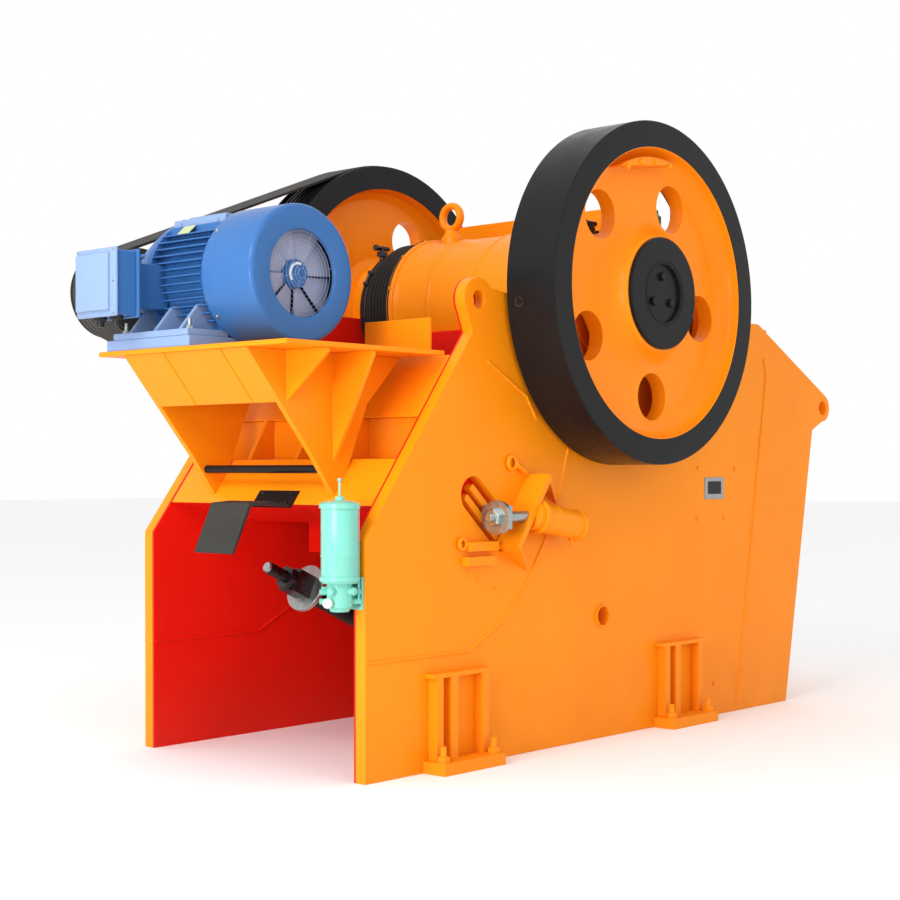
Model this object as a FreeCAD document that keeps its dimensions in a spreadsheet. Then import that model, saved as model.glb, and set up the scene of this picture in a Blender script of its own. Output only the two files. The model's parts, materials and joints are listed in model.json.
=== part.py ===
import FreeCAD, Part
import Sketcher
import os
import re

# A stationary single-toggle jaw crusher.
# +X runs from the discharge and motor end to the feed end, -Y is the plain flywheel side,
# +Y is the belt side and +Z is up.  The origin is on the ground, at the centre of the
# foundation bolts.  Lengths are in millimetres, angles in degrees.

FreeCAD.newDocument("JawCrusher")
doc = FreeCAD.ActiveDocument

SIZES = {
    # side plates
    "plate_thickness": 70,
    "inner_width": 1380,
    "rear_x": -1475,
    "rear_edge_top": 1058,
    "slope_top_x": -770,
    "slope_top_z": 1995,
    "plate_top_z": 2195,
    "front_bottom_x": 2046,
    "front_top_x": 2348,
    "front_top_z": 1600,
    "front_shoulder_x": 1730,
    "rear_lug_x": -725,
    "rear_lug_z": 2150,
    "rear_lug_radius": 103,
    "rear_shoulder_x": -520,
    "front_lug_x": 2470,
    "front_lug_z": 1736,
    "front_lug_radius": 82,
    "lug_hole_radius": 43,
    "front_lug_low_angle": -38.5,
    "front_lug_high_angle": 62.4,
    "rear_lug_high_angle": 36.9,
    "rear_lug_low_angle": 191.5,
    "side_port_x": 230,
    "side_port_z": 620,
    "side_port_radius": 48,
    # feet
    "foot_x": 898,
    "foot_length": 420,
    "foot_reach": 132,
    "foot_block_height": 55,
    "foot_height": 445,
    "foot_rib_thickness": 44,
    "foot_rib_reach_top": 52,
    "foot_rib_reach_base": 52,
    "foot_rib_rear": -152,
    "foot_rib_middle": -53,
    "foot_rib_front": 162,
    "foot_cap_thickness": 20,
    "anchor_offset": 173,
    "anchor_inset": 42,
    "anchor_hole_radius": 26,
    # front of the frame
    "wall_base_x": 1500,
    "wall_top_x": 1858,
    "wall_base_z": 60,
    "wall_top_z": 2180,
    "wall_thickness": 80,
    "front_plate_thickness": 40,
    "front_rib_thickness": 30,
    "front_rib_low_z": 420,
    "front_rib_mid_z": 980,
    "front_rib_high_z": 1540,
    # crushing chamber
    "jaw_plate_thickness": 90,
    "jaw_base_z": 380,
    "jaw_top_z": 2050,
    "jaw_half_width": 640,
    "feed_gap": 1000,
    "closed_gap": 150,
    "cheek_thickness": 40,
    # rotating shaft and wheels
    "shaft_x": 295,
    "shaft_z": 2235,
    "shaft_radius": 150,
    "shaft_clearance": 0.3,
    "seat_clearance": 0.2,
    "throw": 20,
    "throw_radius": 172,
    "throw_half_length": 430,
    "wheel_radius": 850,
    "wheel_rim_inner": 722,
    "wheel_width": 292,
    "wheel_gap": 22,
    "web_thickness": 80,
    "web_depth": 109,
    "dish_chamfer": 46,
    "hub_radius": 290,
    "hub_cap_radius": 277,
    "hub_cap_thickness": 23,
    "web_hole_radius": 120,
    "web_hole_pitch": 512,
    "web_hole_angle": -9.4,
    "weight_chord": 631,
    "weight_angle": 7.7,
    "weight_thickness": 92,
    # pitman
    "barrel_radius": 375,
    "barrel_half_length": 380,
    "flange_rim": 25,
    "flange_half_length": 440,
    "bore_radius": 200,
    "pitman_back_x": -80,
    "pitman_waist_z": 1800,
    "pitman_toe_x": 470,
    "pitman_toe_z": 600,
    "pitman_base_z": 300,
    "deflector_gap": 30,
    "deflector_base": 2150,
    "deflector_top": 2776,
    "deflector_thickness": 30,
    "eye_y": 320,
    "eye_z": 2752,
    "eye_radius": 83,
    "eye_hole_radius": 44,
    "eye_thickness": 50,
    # bearings
    "seal_radius": 390,
    "seal_outer_y": 686,
    "seal_step_radius": 350,
    "seal_step_y": 600,
    "housing_radius": 330,
    "housing_outer_y": 768,
    # rear structure
    "beam_base_z": 1200,
    "beam_top_z": 1410,
    "beam_front_x": -880,
    "beam_front_base_z": 1100,
    "upper_plate_base_z": 1600,
    "upper_plate_top_z": 1890,
    "upper_plate_depth": 80,
    "recess_depth": 190,
    "recess_thickness": 30,
    "recess_rib_thickness": 25,
    "block_rear_x": -560,
    "block_front_x": -230,
    "block_z": 1060,
    "block_height": 260,
    "carrier_drop": 40,
    "toggle_thickness": 90,
    "toggle_rear_z": 1040,
    "toggle_front_z": 500,
    "toggle_half_width": 560,
    # motor platform
    "deck_rear_x": -1870,
    "deck_front_x": -885,
    "deck_near_y": -690,
    "deck_far_y": 594,
    "deck_top_z": 1907,
    "deck_thickness": 22,
    "gusset_y": 411,
    "gusset_thickness": 30,
    "gusset_rear_x": -1855,
    "gusset_heel_x": -1464,
    "gusset_heel_z": 1418,
    "gusset_tip_z": 1243,
    "gusset_toe_z": 1358,
    "gusset_knee_x": -1122,
    "gusset_knee_z": 1663,
    "panel_base_z": 1655,
    "panel_thickness": 14,
    "side_rib_thickness": 20,
    "side_rib_rear_x": -1613,
    "side_rib_rear_z": 1662,
    "side_rib_front_x": -1334,
    "side_rib_front_z": 1392,
    "guard_x": -890,
    "guard_near_inset": 90,
    "guard_far_y": -178,
    "guard_height": 158,
    "guard_thickness": 16,
    "rod_x": -1385,
    "rod_z": 1363,
    "rod_radius": 19,
    # small fittings at the rear
    "clamp_near_y": -190,
    "clamp_far_y": 71,
    "clamp_base_z": 1186,
    "clamp_top_z": 1264,
    "clamp_thickness": 14,
    "flap_thickness": 14,
    "flap_bend_x": -1635,
    "flap_bend_z": 1205,
    "flap_end_x": -1735,
    "flap_end_z": 985,
    "pump_x": -1560,
    "pump_radius": 85,
    "pump_base_z": 750,
    "pump_tank_z": 885,
    "pump_top_z": 1217,
    "pump_lid_thickness": 14,
    "pump_lid_rim": 5,
    "pump_block_half": 62,
    "pump_plate_thickness": 12,
    "pump_plate_margin": 6,
    "pump_plate_reach": 60,
    "pump_arm_half": 25,
    "pump_arm_margin": 30,
    "tension_y": 0,
    "tension_x": -1351,
    "tension_z": 905,
    "tension_angle": 24.28,
    "tension_length": 1665,
    "tension_radius": 28,
    "spring_start": 283,
    "spring_length": 560,
    "spring_radius": 58,
    "washer_radius": 115,
    "washer_thickness": 26,
    "rod_block_length": 105,
    "rod_block_width": 110,
    "tension_bracket_x": -560,
    "tension_bracket_base": 470,
    "tension_bracket_half_width": 130,
    "tension_lug_x": 100,
    "tension_lug_thickness": 40,
    "tension_lug_gap": 36,
    "tension_pin_radius": 16,
    # toggle adjusters on the side plates
    "slot_rear_x": -765,
    "slot_rear_z": 1245,
    "slot_front_x": -555,
    "slot_front_z": 1060,
    "slot_radius": 85,
    "slot_floor": 10,
    "wedge_angle": 41.4,
    "wedge_length": 330,
    "wedge_height": 96,
    "wedge_inset": 10,
    "bracket_x": -475,
    "bracket_z": 1165,
    "bracket_angle": 35.1,
    "bracket_length": 410,
    "bracket_reach": 135,
    "bracket_thickness": 30,
    "bracket_web": 254,
    "bracket_web_angle": 29,
    "bracket_web_thickness": 22,
    "ram_x": -459,
    "ram_z": 1147,
    "ram_inset": 40,
    "ram_angle": 9.7,
    "ram_length": 355,
    "ram_radius": 70,
    "ram_wall": 9,
    "screw_x": -717,
    "screw_z": 1140,
    "screw_radius": 28,
    "screw_disc_radius": 80,
    "screw_disc_thickness": 24,
    "side_bar_x": -825,
    "side_bar_z": 985,
    "side_bar_length": 200,
    "side_bar_height": 42,
    "side_bar_thickness": 40,
    # motor
    "motor_x": -1473,
    "motor_centre_height": 278,
    "motor_core_radius": 262,
    "motor_fin_radius": 300,
    "motor_fin_count": 11,
    "motor_fin_thickness": 8,
    "motor_rear_y": -55,
    "motor_front_y": 372,
    "motor_shield_y": 640,
    "motor_shield_radius": 275,
    "motor_foot_x": 387,
    "motor_foot_width": 120,
    "motor_foot_height": 40,
    "motor_foot_near_y": -45,
    "motor_foot_far_y": 500,
    "motor_base_near_y": -50,
    "motor_base_far_y": 545,
    "cover_radius": 312,
    "cover_face_y": -372,
    "cover_wall": 8,
    "grille_radius": 195,
    "fan_radius": 250,
    "fan_hub_radius": 70,
    "box_rear_x": -2075,
    "box_front_x": -1735,
    "box_near_y": 225,
    "box_far_y": 515,
    "box_base_z": 2044,
    "box_top_z": 2352,
    "motor_shaft_radius": 42,
    "motor_shaft_clearance": 0.3,
    # belt drive
    "sheave_groove_radius": 838,
    "pulley_groove_radius": 198,
    "pulley_flange_radius": 214,
    "pulley_start_y": 786,
    "pulley_flange": 12,
    "belt_clearance": 2,
    "belt_thickness": 16,
    "belt_edge_gap": 6,
    # identification plate, blank
    "tag_x": 1266,
    "tag_z": 1259,
    "tag_length": 190,
    "tag_height": 120,
    "tag_thickness": 4,
}

sheet = doc.addObject("Spreadsheet::Sheet", "Sizes")
for row, (alias, value) in enumerate(SIZES.items(), start=1):
    sheet.set(f"A{row}", alias)
    sheet.set(f"B{row}", str(value))
    sheet.setAlias(f"B{row}", alias)
doc.recompute()

X = FreeCAD.Vector(1, 0, 0)
Y = FreeCAD.Vector(0, 1, 0)
Z = FreeCAD.Vector(0, 0, 1)
ORIGIN = FreeCAD.Vector(0, 0, 0)
ROLE = {"XZ": "XZ_Plane", "YZ": "YZ_Plane", "XY": "XY_Plane"}
nodes = []


def bind(thing, prop, formula):
    """Ties a property to a formula written with the sheet's aliases."""
    names = re.sub(r"[a-z_]+", lambda m: "Sizes." + m[0] if m[0] in SIZES else m[0], str(formula))
    thing.setExpression(prop, names)


def place(thing, x=0, y=0, z=0):
    """Ties the three coordinates of an object's placement."""
    for axis, formula in zip("xyz", (x, y, z)):
        bind(thing, "Placement.Base." + axis, formula)


def turn(thing, axis, angle):
    """Turns an object about an axis through its own origin; the angle may be a formula."""
    thing.Placement = FreeCAD.Placement(ORIGIN, FreeCAD.Rotation(axis, 1))
    bind(thing, "Placement.Rotation.Angle", angle)


def box(name, x, y, z):
    """A block between pairs of coordinates."""
    block = doc.addObject("Part::Box", name)
    for prop, (low, high) in zip(("Length", "Width", "Height"), (x, y, z)):
        bind(block, prop, f"({high}) - ({low})")
    place(block, x[0], y[0], z[0])
    return block


def cylinder(name, axis, centre, span, radius):
    """A round bar along Y (centre is x, z), X (centre is y, z) or Z (centre is x, y)."""
    bar = doc.addObject("Part::Cylinder", name)
    bind(bar, "Radius", radius)
    bind(bar, "Height", f"({span[1]}) - ({span[0]})")
    if axis == "Y":
        turn(bar, X, -90)
        place(bar, centre[0], span[0], centre[1])
    elif axis == "X":
        turn(bar, Y, 90)
        place(bar, span[0], centre[0], centre[1])
    else:
        place(bar, centre[0], centre[1], span[0])
    return bar


def sloping_bar(name, start, fall, reach, radius):
    """A round bar that starts at a point and falls towards +X by an angle, for a span of reach."""
    bar = doc.addObject("Part::Cylinder", name)
    bind(bar, "Radius", radius)
    bind(bar, "Height", f"({reach[1]}) - ({reach[0]})")
    turn(bar, Y, f"90 + ({fall})")
    x, y, z = start
    place(bar, f"({x}) + ({reach[0]}) * cos({fall})", y, f"({z}) - ({reach[0]}) * sin({fall})")
    return bar


def outline(body, name, plane, points, offset):
    """A closed polygon in a sketch whose corners are tied to formulas."""
    sketch = body.newObject("Sketcher::SketchObject", name + "_outline")
    base = [f for f in body.Origin.OriginFeatures if f.Role == ROLE[plane]][0]
    sketch.AttachmentSupport = (base, [""])
    sketch.MapMode = "FlatFace"
    bind(sketch, "AttachmentOffset.Base.z", offset)
    count = len(points)
    corners = []
    for i in range(count):
        spot = FreeCAD.Rotation(Z, 360.0 * i / count).multVec(FreeCAD.Vector(900, 0, 0))
        corners.append(spot)
    for i in range(count):
        sketch.addGeometry(Part.LineSegment(corners[i], corners[(i + 1) % count]), False)
    for i in range(count):
        sketch.addConstraint(Sketcher.Constraint("Coincident", i, 2, (i + 1) % count, 1))
    for i, (across, up) in enumerate(points):
        h = sketch.addConstraint(Sketcher.Constraint("DistanceX", -1, 1, i, 1, corners[i].x))
        v = sketch.addConstraint(Sketcher.Constraint("DistanceY", -1, 1, i, 1, corners[i].y))
        bind(sketch, f"Constraints[{h}]", across)
        bind(sketch, f"Constraints[{v}]", up)
    return sketch


def prism(name, plane, points, span):
    """A polygon pushed along the axis square to its plane, between two coordinates."""
    body = doc.addObject("PartDesign::Body", name)
    offset = f"-({span[1]})" if plane == "XZ" else span[0]
    sketch = outline(body, name, plane, points, offset)
    pad = body.newObject("PartDesign::Pad", name + "_pad")
    pad.Profile = sketch
    bind(pad, "Length", f"({span[1]}) - ({span[0]})")
    body.Tip = pad
    return body


def turned(name, points):
    """A profile of (y, radius) corners turned about the shaft axis, which is along Y."""
    body = doc.addObject("PartDesign::Body", name)
    sketch = outline(body, name, "YZ", points, 0)
    spin = body.newObject("PartDesign::Revolution", name + "_turn")
    spin.Profile = sketch
    spin.ReferenceAxis = (sketch, ["H_Axis"])
    spin.Angle = 360
    body.Tip = spin
    place(body, "shaft_x", 0, "shaft_z")
    return body


def fuse(name, *pieces):
    """Pieces joined into one."""
    joined = doc.addObject("Part::MultiFuse", name)
    joined.Shapes = list(pieces)
    return joined


def cut(name, base, *tools):
    """A piece with others taken away."""
    made = doc.addObject("Part::Cut", name)
    made.Base = base
    made.Tool = tools[0] if len(tools) == 1 else fuse(name + "_tools", *tools)
    return made


def mirror(name, source):
    """The same piece on the other side of the machine's middle plane."""
    copy = doc.addObject("Part::Mirroring", name)
    copy.Source = source
    copy.Base = ORIGIN
    copy.Normal = Y
    return copy


def both(name, source):
    """A piece and its mirror image as one node of two separate solids."""
    pair = doc.addObject("Part::Compound", name)
    pair.Links = [source, mirror(name + "_other", source)]
    return pair


def group(name, *pieces):
    """Separate like solids kept as one node."""
    pack = doc.addObject("Part::Compound", name)
    pack.Links = list(pieces)
    return pack


def node(label, thing):
    """Marks an object as a finished sub-part; its label names its file."""
    thing.Label = label
    nodes.append(thing)
    return thing


# Lines that several pieces share, as formulas.
INNER = "inner_width / 2"
OUTER = "(inner_width / 2 + plate_thickness)"
SLOPE = "((slope_top_z - rear_edge_top) / (slope_top_x - rear_x))"
WALL_LEAN = "((wall_top_x - wall_base_x) / (wall_top_z - wall_base_z))"


def slope_x(z):
    """X of the sloping rear edge of the side plates at a height."""
    return f"(rear_x + (({z}) - rear_edge_top) / {SLOPE})"


def front_x(z):
    """X of the front edge of the side plates at a height."""
    return f"(front_bottom_x + ({z}) * (front_top_x - front_bottom_x) / front_top_z)"


def wall_x(z):
    """X of the rear face of the leaning front wall at a height."""
    return f"(wall_base_x + (({z}) - wall_base_z) * {WALL_LEAN})"


def fixed_face_x(z):
    """X of the crushing face of the fixed jaw at a height."""
    return f"({wall_x(z)} - jaw_plate_thickness)"


MOVING_BASE = f"({fixed_face_x('jaw_base_z')} - closed_gap)"
MOVING_TOP = f"({fixed_face_x('jaw_top_z')} - feed_gap)"


# ---- side plates -------------------------------------------------------------------------
def on_lug(lug, angle):
    """The point of a lug's rim at an angle, where the plate's straight edge runs off it."""
    return (f"{lug}_x + {lug}_radius * cos({angle})", f"{lug}_z + {lug}_radius * sin({angle})")


def side_plate(prefix):
    """The near side plate, with lifting lugs, bearing seat, adjuster slot and small port."""
    y = (f"-{OUTER}", f"-{INNER}")
    edge = [
        ("rear_x", 0),
        ("front_bottom_x", 0),
        ("front_top_x", "front_top_z"),
        on_lug("front_lug", "front_lug_low_angle"),
        on_lug("front_lug", "front_lug_high_angle"),
        ("front_shoulder_x", "plate_top_z"),
        ("rear_shoulder_x", "plate_top_z"),
        on_lug("rear_lug", "rear_lug_high_angle"),
        on_lug("rear_lug", "rear_lug_low_angle"),
        ("slope_top_x", "slope_top_z"),
        ("rear_x", "rear_edge_top"),
    ]
    plate = prism(prefix + "_sheet", "XZ", edge, y)
    rear_lug = cylinder(prefix + "_rear_lug", "Y", ("rear_lug_x", "rear_lug_z"), y, "rear_lug_radius")
    front_lug = cylinder(prefix + "_front_lug", "Y", ("front_lug_x", "front_lug_z"), y,
                         "front_lug_radius")
    through = (f"-{OUTER} - 5", f"-{INNER} + 5")
    holes = [
        cylinder(prefix + "_rear_hole", "Y", ("rear_lug_x", "rear_lug_z"), through, "lug_hole_radius"),
        cylinder(prefix + "_front_hole", "Y", ("front_lug_x", "front_lug_z"), through,
                 "lug_hole_radius"),
        cylinder(prefix + "_seat", "Y", ("shaft_x", "shaft_z"), through,
                 "housing_radius + seat_clearance"),
        cylinder(prefix + "_port", "Y", ("side_port_x", "side_port_z"), through, "side_port_radius"),
    ]
    pocket = (f"-{OUTER} - 5", f"-{INNER} - slot_floor")
    holes += [
        cylinder(prefix + "_slot_rear", "Y", ("slot_rear_x", "slot_rear_z"), pocket, "slot_radius"),
        cylinder(prefix + "_slot_front", "Y", ("slot_front_x", "slot_front_z"), pocket,
                 "slot_radius"),
        prism(prefix + "_slot", "XZ", [
            ("slot_rear_x + slot_radius * sin(wedge_angle)",
             "slot_rear_z + slot_radius * cos(wedge_angle)"),
            ("slot_front_x + slot_radius * sin(wedge_angle)",
             "slot_front_z + slot_radius * cos(wedge_angle)"),
            ("slot_front_x - slot_radius * sin(wedge_angle)",
             "slot_front_z - slot_radius * cos(wedge_angle)"),
            ("slot_rear_x - slot_radius * sin(wedge_angle)",
             "slot_rear_z - slot_radius * cos(wedge_angle)"),
        ], pocket),
    ]
    return cut(prefix + "_cut", fuse(prefix + "_blank", plate, rear_lug, front_lug), *holes)


near_plate = node("side_plate_near", side_plate("near_plate"))
node("side_plate_far", mirror("far_plate", near_plate))


# ---- feet --------------------------------------------------------------------------------
def foot(prefix, x):
    """A welded foot on the outside of the near plate, drilled for two anchor bolts."""
    y = (f"-{OUTER} - foot_reach", f"-{OUTER}")
    block = box(prefix + "_block", (f"{x} - foot_length / 2", f"{x} + foot_length / 2"), y,
                (0, "foot_block_height"))
    bolt_y = f"-{OUTER} - foot_reach + anchor_inset"
    drilled = cut(prefix + "_drilled", block, *[
        cylinder(prefix + "_hole_" + side, "Z", (f"{x} {sign} anchor_offset", bolt_y),
                 (-5, "foot_block_height + 5"), "anchor_hole_radius")
        for side, sign in (("rear", "-"), ("front", "+"))])
    ribs = []
    for offset in ("foot_rib_rear", "foot_rib_middle", "foot_rib_front"):
        profile = [
            (f"-{OUTER}", "foot_block_height"),
            (f"-{OUTER}", "foot_height - foot_cap_thickness"),
            (f"-{OUTER} - foot_rib_reach_top", "foot_height - foot_cap_thickness"),
            (f"-{OUTER} - foot_rib_reach_base", "foot_block_height"),
        ]
        middle = f"{x} + {offset}"
        ribs.append(prism(prefix + "_" + offset, "YZ", profile,
                          (f"{middle} - foot_rib_thickness / 2", f"{middle} + foot_rib_thickness / 2")))
    cap = box(prefix + "_cap",
              (f"{x} + foot_rib_rear - foot_rib_thickness", f"{x} + foot_rib_front + foot_rib_thickness"),
              (f"-{OUTER} - foot_rib_reach_top", f"-{OUTER}"),
              ("foot_height - foot_cap_thickness", "foot_height"))
    return fuse(prefix, drilled, cap, *ribs)


for label, x in (("rear", "-foot_x"), ("front", "foot_x")):
    node(f"{label}_feet", both(f"{label}_feet", foot(f"{label}_foot", x)))


# ---- front of the frame --------------------------------------------------------------------
across = (f"-{INNER}", INNER)
node("front_wall", prism("front_wall", "XZ", [
    (wall_x("wall_base_z"), "wall_base_z"),
    (f"{wall_x('wall_base_z')} + wall_thickness", "wall_base_z"),
    (f"{wall_x('wall_top_z')} + wall_thickness", "wall_top_z"),
    (wall_x("wall_top_z"), "wall_top_z"),
], across))
front_sheet = prism("front_sheet", "XZ", [
    (f"{front_x(0)} - front_plate_thickness", 0),
    (front_x(0), 0),
    ("front_top_x", "front_top_z"),
    ("front_top_x - front_plate_thickness", "front_top_z"),
], across)
front_ribs = []
for rib_z in ("front_rib_low_z", "front_rib_mid_z", "front_rib_high_z"):
    top = f"{rib_z} + front_rib_thickness"
    front_ribs.append(prism("front_" + rib_z, "XZ", [
        (f"{wall_x(rib_z)} + wall_thickness", rib_z),
        (f"{front_x(rib_z)} - front_plate_thickness", rib_z),
        (f"{front_x(top)} - front_plate_thickness", top),
        (f"{wall_x(top)} + wall_thickness", top),
    ], across))
node("front_plate", fuse("front_plate", front_sheet, *front_ribs))

# ---- crushing chamber ------------------------------------------------------------------------
jaw_across = ("-jaw_half_width", "jaw_half_width")
node("fixed_jaw_plate", prism("fixed_jaw_plate", "XZ", [
    (fixed_face_x("jaw_base_z"), "jaw_base_z"),
    (wall_x("jaw_base_z"), "jaw_base_z"),
    (wall_x("jaw_top_z"), "jaw_top_z"),
    (fixed_face_x("jaw_top_z"), "jaw_top_z"),
], jaw_across))
node("moving_jaw_plate", prism("moving_jaw_plate", "XZ", [
    (f"{MOVING_BASE} - jaw_plate_thickness", "jaw_base_z"),
    (MOVING_BASE, "jaw_base_z"),
    (MOVING_TOP, "jaw_top_z"),
    (f"{MOVING_TOP} - jaw_plate_thickness", "jaw_top_z"),
], jaw_across))
cheek = prism("cheek_plate", "XZ", [
    (f"{MOVING_BASE} - jaw_plate_thickness", "jaw_base_z"),
    (f"{wall_x('jaw_base_z')} - 2", "jaw_base_z"),
    (f"{wall_x('jaw_top_z')} - 2", "jaw_top_z"),
    (f"{MOVING_TOP} - jaw_plate_thickness", "jaw_top_z"),
], (f"-{INNER}", f"-{INNER} + cheek_thickness"))
node("cheek_plates", both("cheek_plates", cheek))

# ---- shaft, flywheel and sheave ------------------------------------------------------------------
WHEEL_INNER = "(inner_width / 2 + plate_thickness + wheel_gap)"
WHEEL_OUTER = "(inner_width / 2 + plate_thickness + wheel_gap + wheel_width)"
journal = turned("shaft_journal", [
    (f"-{WHEEL_OUTER}", 0),
    (f"-{WHEEL_OUTER}", "shaft_radius"),
    (WHEEL_OUTER, "shaft_radius"),
    (WHEEL_OUTER, 0),
])
throw_part = cylinder("shaft_throw", "Y", ("shaft_x", "shaft_z - throw"),
                      ("-throw_half_length", "throw_half_length"), "throw_radius")
node("eccentric_shaft", fuse("eccentric_shaft", journal, throw_part))

WEB_OUT = f"({WHEEL_OUTER} - web_depth)"
WEB_IN = f"({WHEEL_OUTER} - web_depth - web_thickness)"


def wheel_profile(sign, outer_radius):
    """Half section of a dished wheel; sign is - for the near side and empty for the far side."""
    flip = lambda y: f"{sign}{y}"
    return [
        (flip(WHEEL_INNER), "wheel_rim_inner"),
        (flip(WHEEL_INNER), "wheel_radius"),
        *outer_radius,
        (flip(WHEEL_OUTER), "wheel_radius"),
        (flip(WHEEL_OUTER), "wheel_rim_inner"),
        (flip(f"({WEB_OUT} + dish_chamfer)"), "wheel_rim_inner - dish_chamfer / 4"),
        (flip(WEB_OUT), "wheel_rim_inner - dish_chamfer"),
        (flip(WEB_OUT), "hub_radius + dish_chamfer"),
        (flip(f"({WEB_OUT} + dish_chamfer)"), "hub_radius + dish_chamfer / 4"),
        (flip(WHEEL_OUTER), "hub_radius"),
        (flip(WHEEL_OUTER), "shaft_radius"),
        (flip(WHEEL_INNER), "shaft_radius"),
        (flip(WHEEL_INNER), "hub_radius"),
        (flip(WEB_IN), "hub_radius"),
        (flip(WEB_IN), "wheel_rim_inner"),
    ]


def web_holes(prefix, side):
    """Five round lightening holes through a wheel's web."""
    tools = []
    span = (f"-{WHEEL_OUTER}", f"-{WHEEL_INNER}") if side == "near" else (WHEEL_INNER, WHEEL_OUTER)
    for k in range(5):
        angle = f"(web_hole_angle + {72 * k})"
        centre = (f"shaft_x + web_hole_pitch * cos({angle})", f"shaft_z + web_hole_pitch * sin({angle})")
        tools.append(cylinder(f"{prefix}_hole_{k}", "Y", centre, span, "web_hole_radius"))
    return tools


near_wheel = turned("near_wheel", wheel_profile("-", []))
node("flywheel", cut("flywheel_cut", near_wheel, *web_holes("flywheel", "near")))
GROOVE_START = f"({WHEEL_INNER} + 2 * pulley_flange)"
GROOVE_END = f"({WHEEL_OUTER} - pulley_flange)"
far_wheel = turned("far_wheel", wheel_profile("", [
    (GROOVE_START, "wheel_radius"),
    (GROOVE_START, "sheave_groove_radius"),
    (GROOVE_END, "sheave_groove_radius"),
    (GROOVE_END, "wheel_radius"),
]))
node("sheave", cut("sheave_cut", far_wheel, *web_holes("sheave", "far")))
hub_cap = cylinder("hub_cap", "Y", ("shaft_x", "shaft_z"),
                   (f"-{WHEEL_OUTER} - hub_cap_thickness", f"-{WHEEL_OUTER}"), "hub_cap_radius")
node("hub_caps", both("hub_caps", hub_cap))

weight_disc = cylinder("weight_disc", "Y", ("shaft_x", "shaft_z"),
                       (f"-{WEB_OUT} - weight_thickness", f"-{WEB_OUT}"),
                       "wheel_rim_inner - dish_chamfer")
weight_cut = doc.addObject("Part::Box", "weight_cut")
bind(weight_cut, "Length", "4 * wheel_radius")
bind(weight_cut, "Width", "2 * wheel_radius")
bind(weight_cut, "Height", "2 * wheel_radius")
turn(weight_cut, Y, "-weight_angle")
place(weight_cut,
      "shaft_x - weight_chord * sin(weight_angle)"
      " - 2 * wheel_radius * cos(weight_angle) + 2 * wheel_radius * sin(weight_angle)",
      f"-{WEB_OUT} - weight_thickness - wheel_radius",
      "shaft_z + weight_chord * cos(weight_angle)"
      " - 2 * wheel_radius * sin(weight_angle) - 2 * wheel_radius * cos(weight_angle)")
weight = cut("weight", weight_disc, weight_cut)
node("counterweights", both("counterweights", weight))

# ---- pitman --------------------------------------------------------------------------------
barrel = fuse("barrel_blank",
              cylinder("barrel_tube", "Y", ("shaft_x", "shaft_z"),
                       ("-barrel_half_length", "barrel_half_length"), "barrel_radius"),
              cylinder("barrel_flange_near", "Y", ("shaft_x", "shaft_z"),
                       ("-flange_half_length", "-barrel_half_length"), "barrel_radius + flange_rim"),
              cylinder("barrel_flange_far", "Y", ("shaft_x", "shaft_z"),
                       ("barrel_half_length", "flange_half_length"), "barrel_radius + flange_rim"))
bore = cylinder("barrel_bore", "Y", ("shaft_x", "shaft_z"),
                ("-flange_half_length - 5", "flange_half_length + 5"), "bore_radius")
node("pitman_barrel", cut("pitman_barrel", barrel, bore))

pitman = prism("pitman_blank", "XZ", [
    ("pitman_back_x", "shaft_z - 0.4 * barrel_radius"),
    ("pitman_back_x", "pitman_waist_z"),
    ("pitman_toe_x", "pitman_toe_z"),
    ("pitman_toe_x", "pitman_base_z"),
    (f"{MOVING_BASE} - jaw_plate_thickness - 120", "pitman_base_z"),
    (f"{MOVING_BASE} - jaw_plate_thickness", "jaw_base_z"),
    (f"{MOVING_TOP} - jaw_plate_thickness", "jaw_top_z"),
    ("shaft_x + 0.9 * barrel_radius", "shaft_z + 0.2 * barrel_radius"),
], ("-barrel_half_length", "barrel_half_length"))
room = cylinder("pitman_room", "Y", ("shaft_x", "shaft_z"),
                ("-barrel_half_length - 5", "barrel_half_length + 5"), "barrel_radius + seat_clearance")
pitman_toe = prism("pitman_toe", "XZ", [
    ("pitman_toe_x", "pitman_toe_z"),
    ("pitman_toe_x", "pitman_base_z"),
    (f"{MOVING_BASE} - jaw_plate_thickness - 120", "pitman_base_z"),
    (f"{MOVING_BASE} - jaw_plate_thickness", "jaw_base_z"),
    (f"{MOVING_TOP} - jaw_plate_thickness", "jaw_top_z"),
    (f"{MOVING_TOP} - 2.2 * jaw_plate_thickness", "jaw_top_z - 60"),
], jaw_across)
toe_room = cylinder("toe_room", "Y", ("shaft_x", "shaft_z"), ("-jaw_half_width - 5", "jaw_half_width + 5"),
                    "barrel_radius + flange_rim + 4")
pitman_cast = fuse("pitman_cast", cut("pitman_web", pitman, room), cut("pitman_front", pitman_toe, toe_room))

# ---- the rest of the list --------------------------------------------------------------------
GUARD_X = "(shaft_x + barrel_radius + flange_rim + deflector_gap)"
node("feed_guard", box("feed_guard", (GUARD_X, f"{GUARD_X} + deflector_thickness"), across,
                       ("deflector_base", "deflector_top")))
eye_span = ("shaft_x - eye_thickness / 2", "shaft_x + eye_thickness / 2")
eye_ring = cylinder("eye_ring", "X", ("eye_y", "eye_z"), eye_span, "eye_radius")
eye_hole = cylinder("eye_hole", "X", ("eye_y", "eye_z"),
                    ("shaft_x - eye_thickness", "shaft_x + eye_thickness"), "eye_hole_radius")
eye_neck = prism("eye_neck", "YZ", [
    ("eye_y - 0.9 * eye_radius", "shaft_z + 0.9 * barrel_radius"),
    ("eye_y + 0.9 * eye_radius", "shaft_z + 0.9 * barrel_radius"),
    ("eye_y + 0.9 * eye_radius", "eye_z"),
    ("eye_y - 0.9 * eye_radius", "eye_z"),
], eye_span)
eye_room = cylinder("eye_room", "Y", ("shaft_x", "shaft_z"), ("eye_y - 200", "eye_y + 200"),
                    "barrel_radius + seat_clearance")
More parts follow.
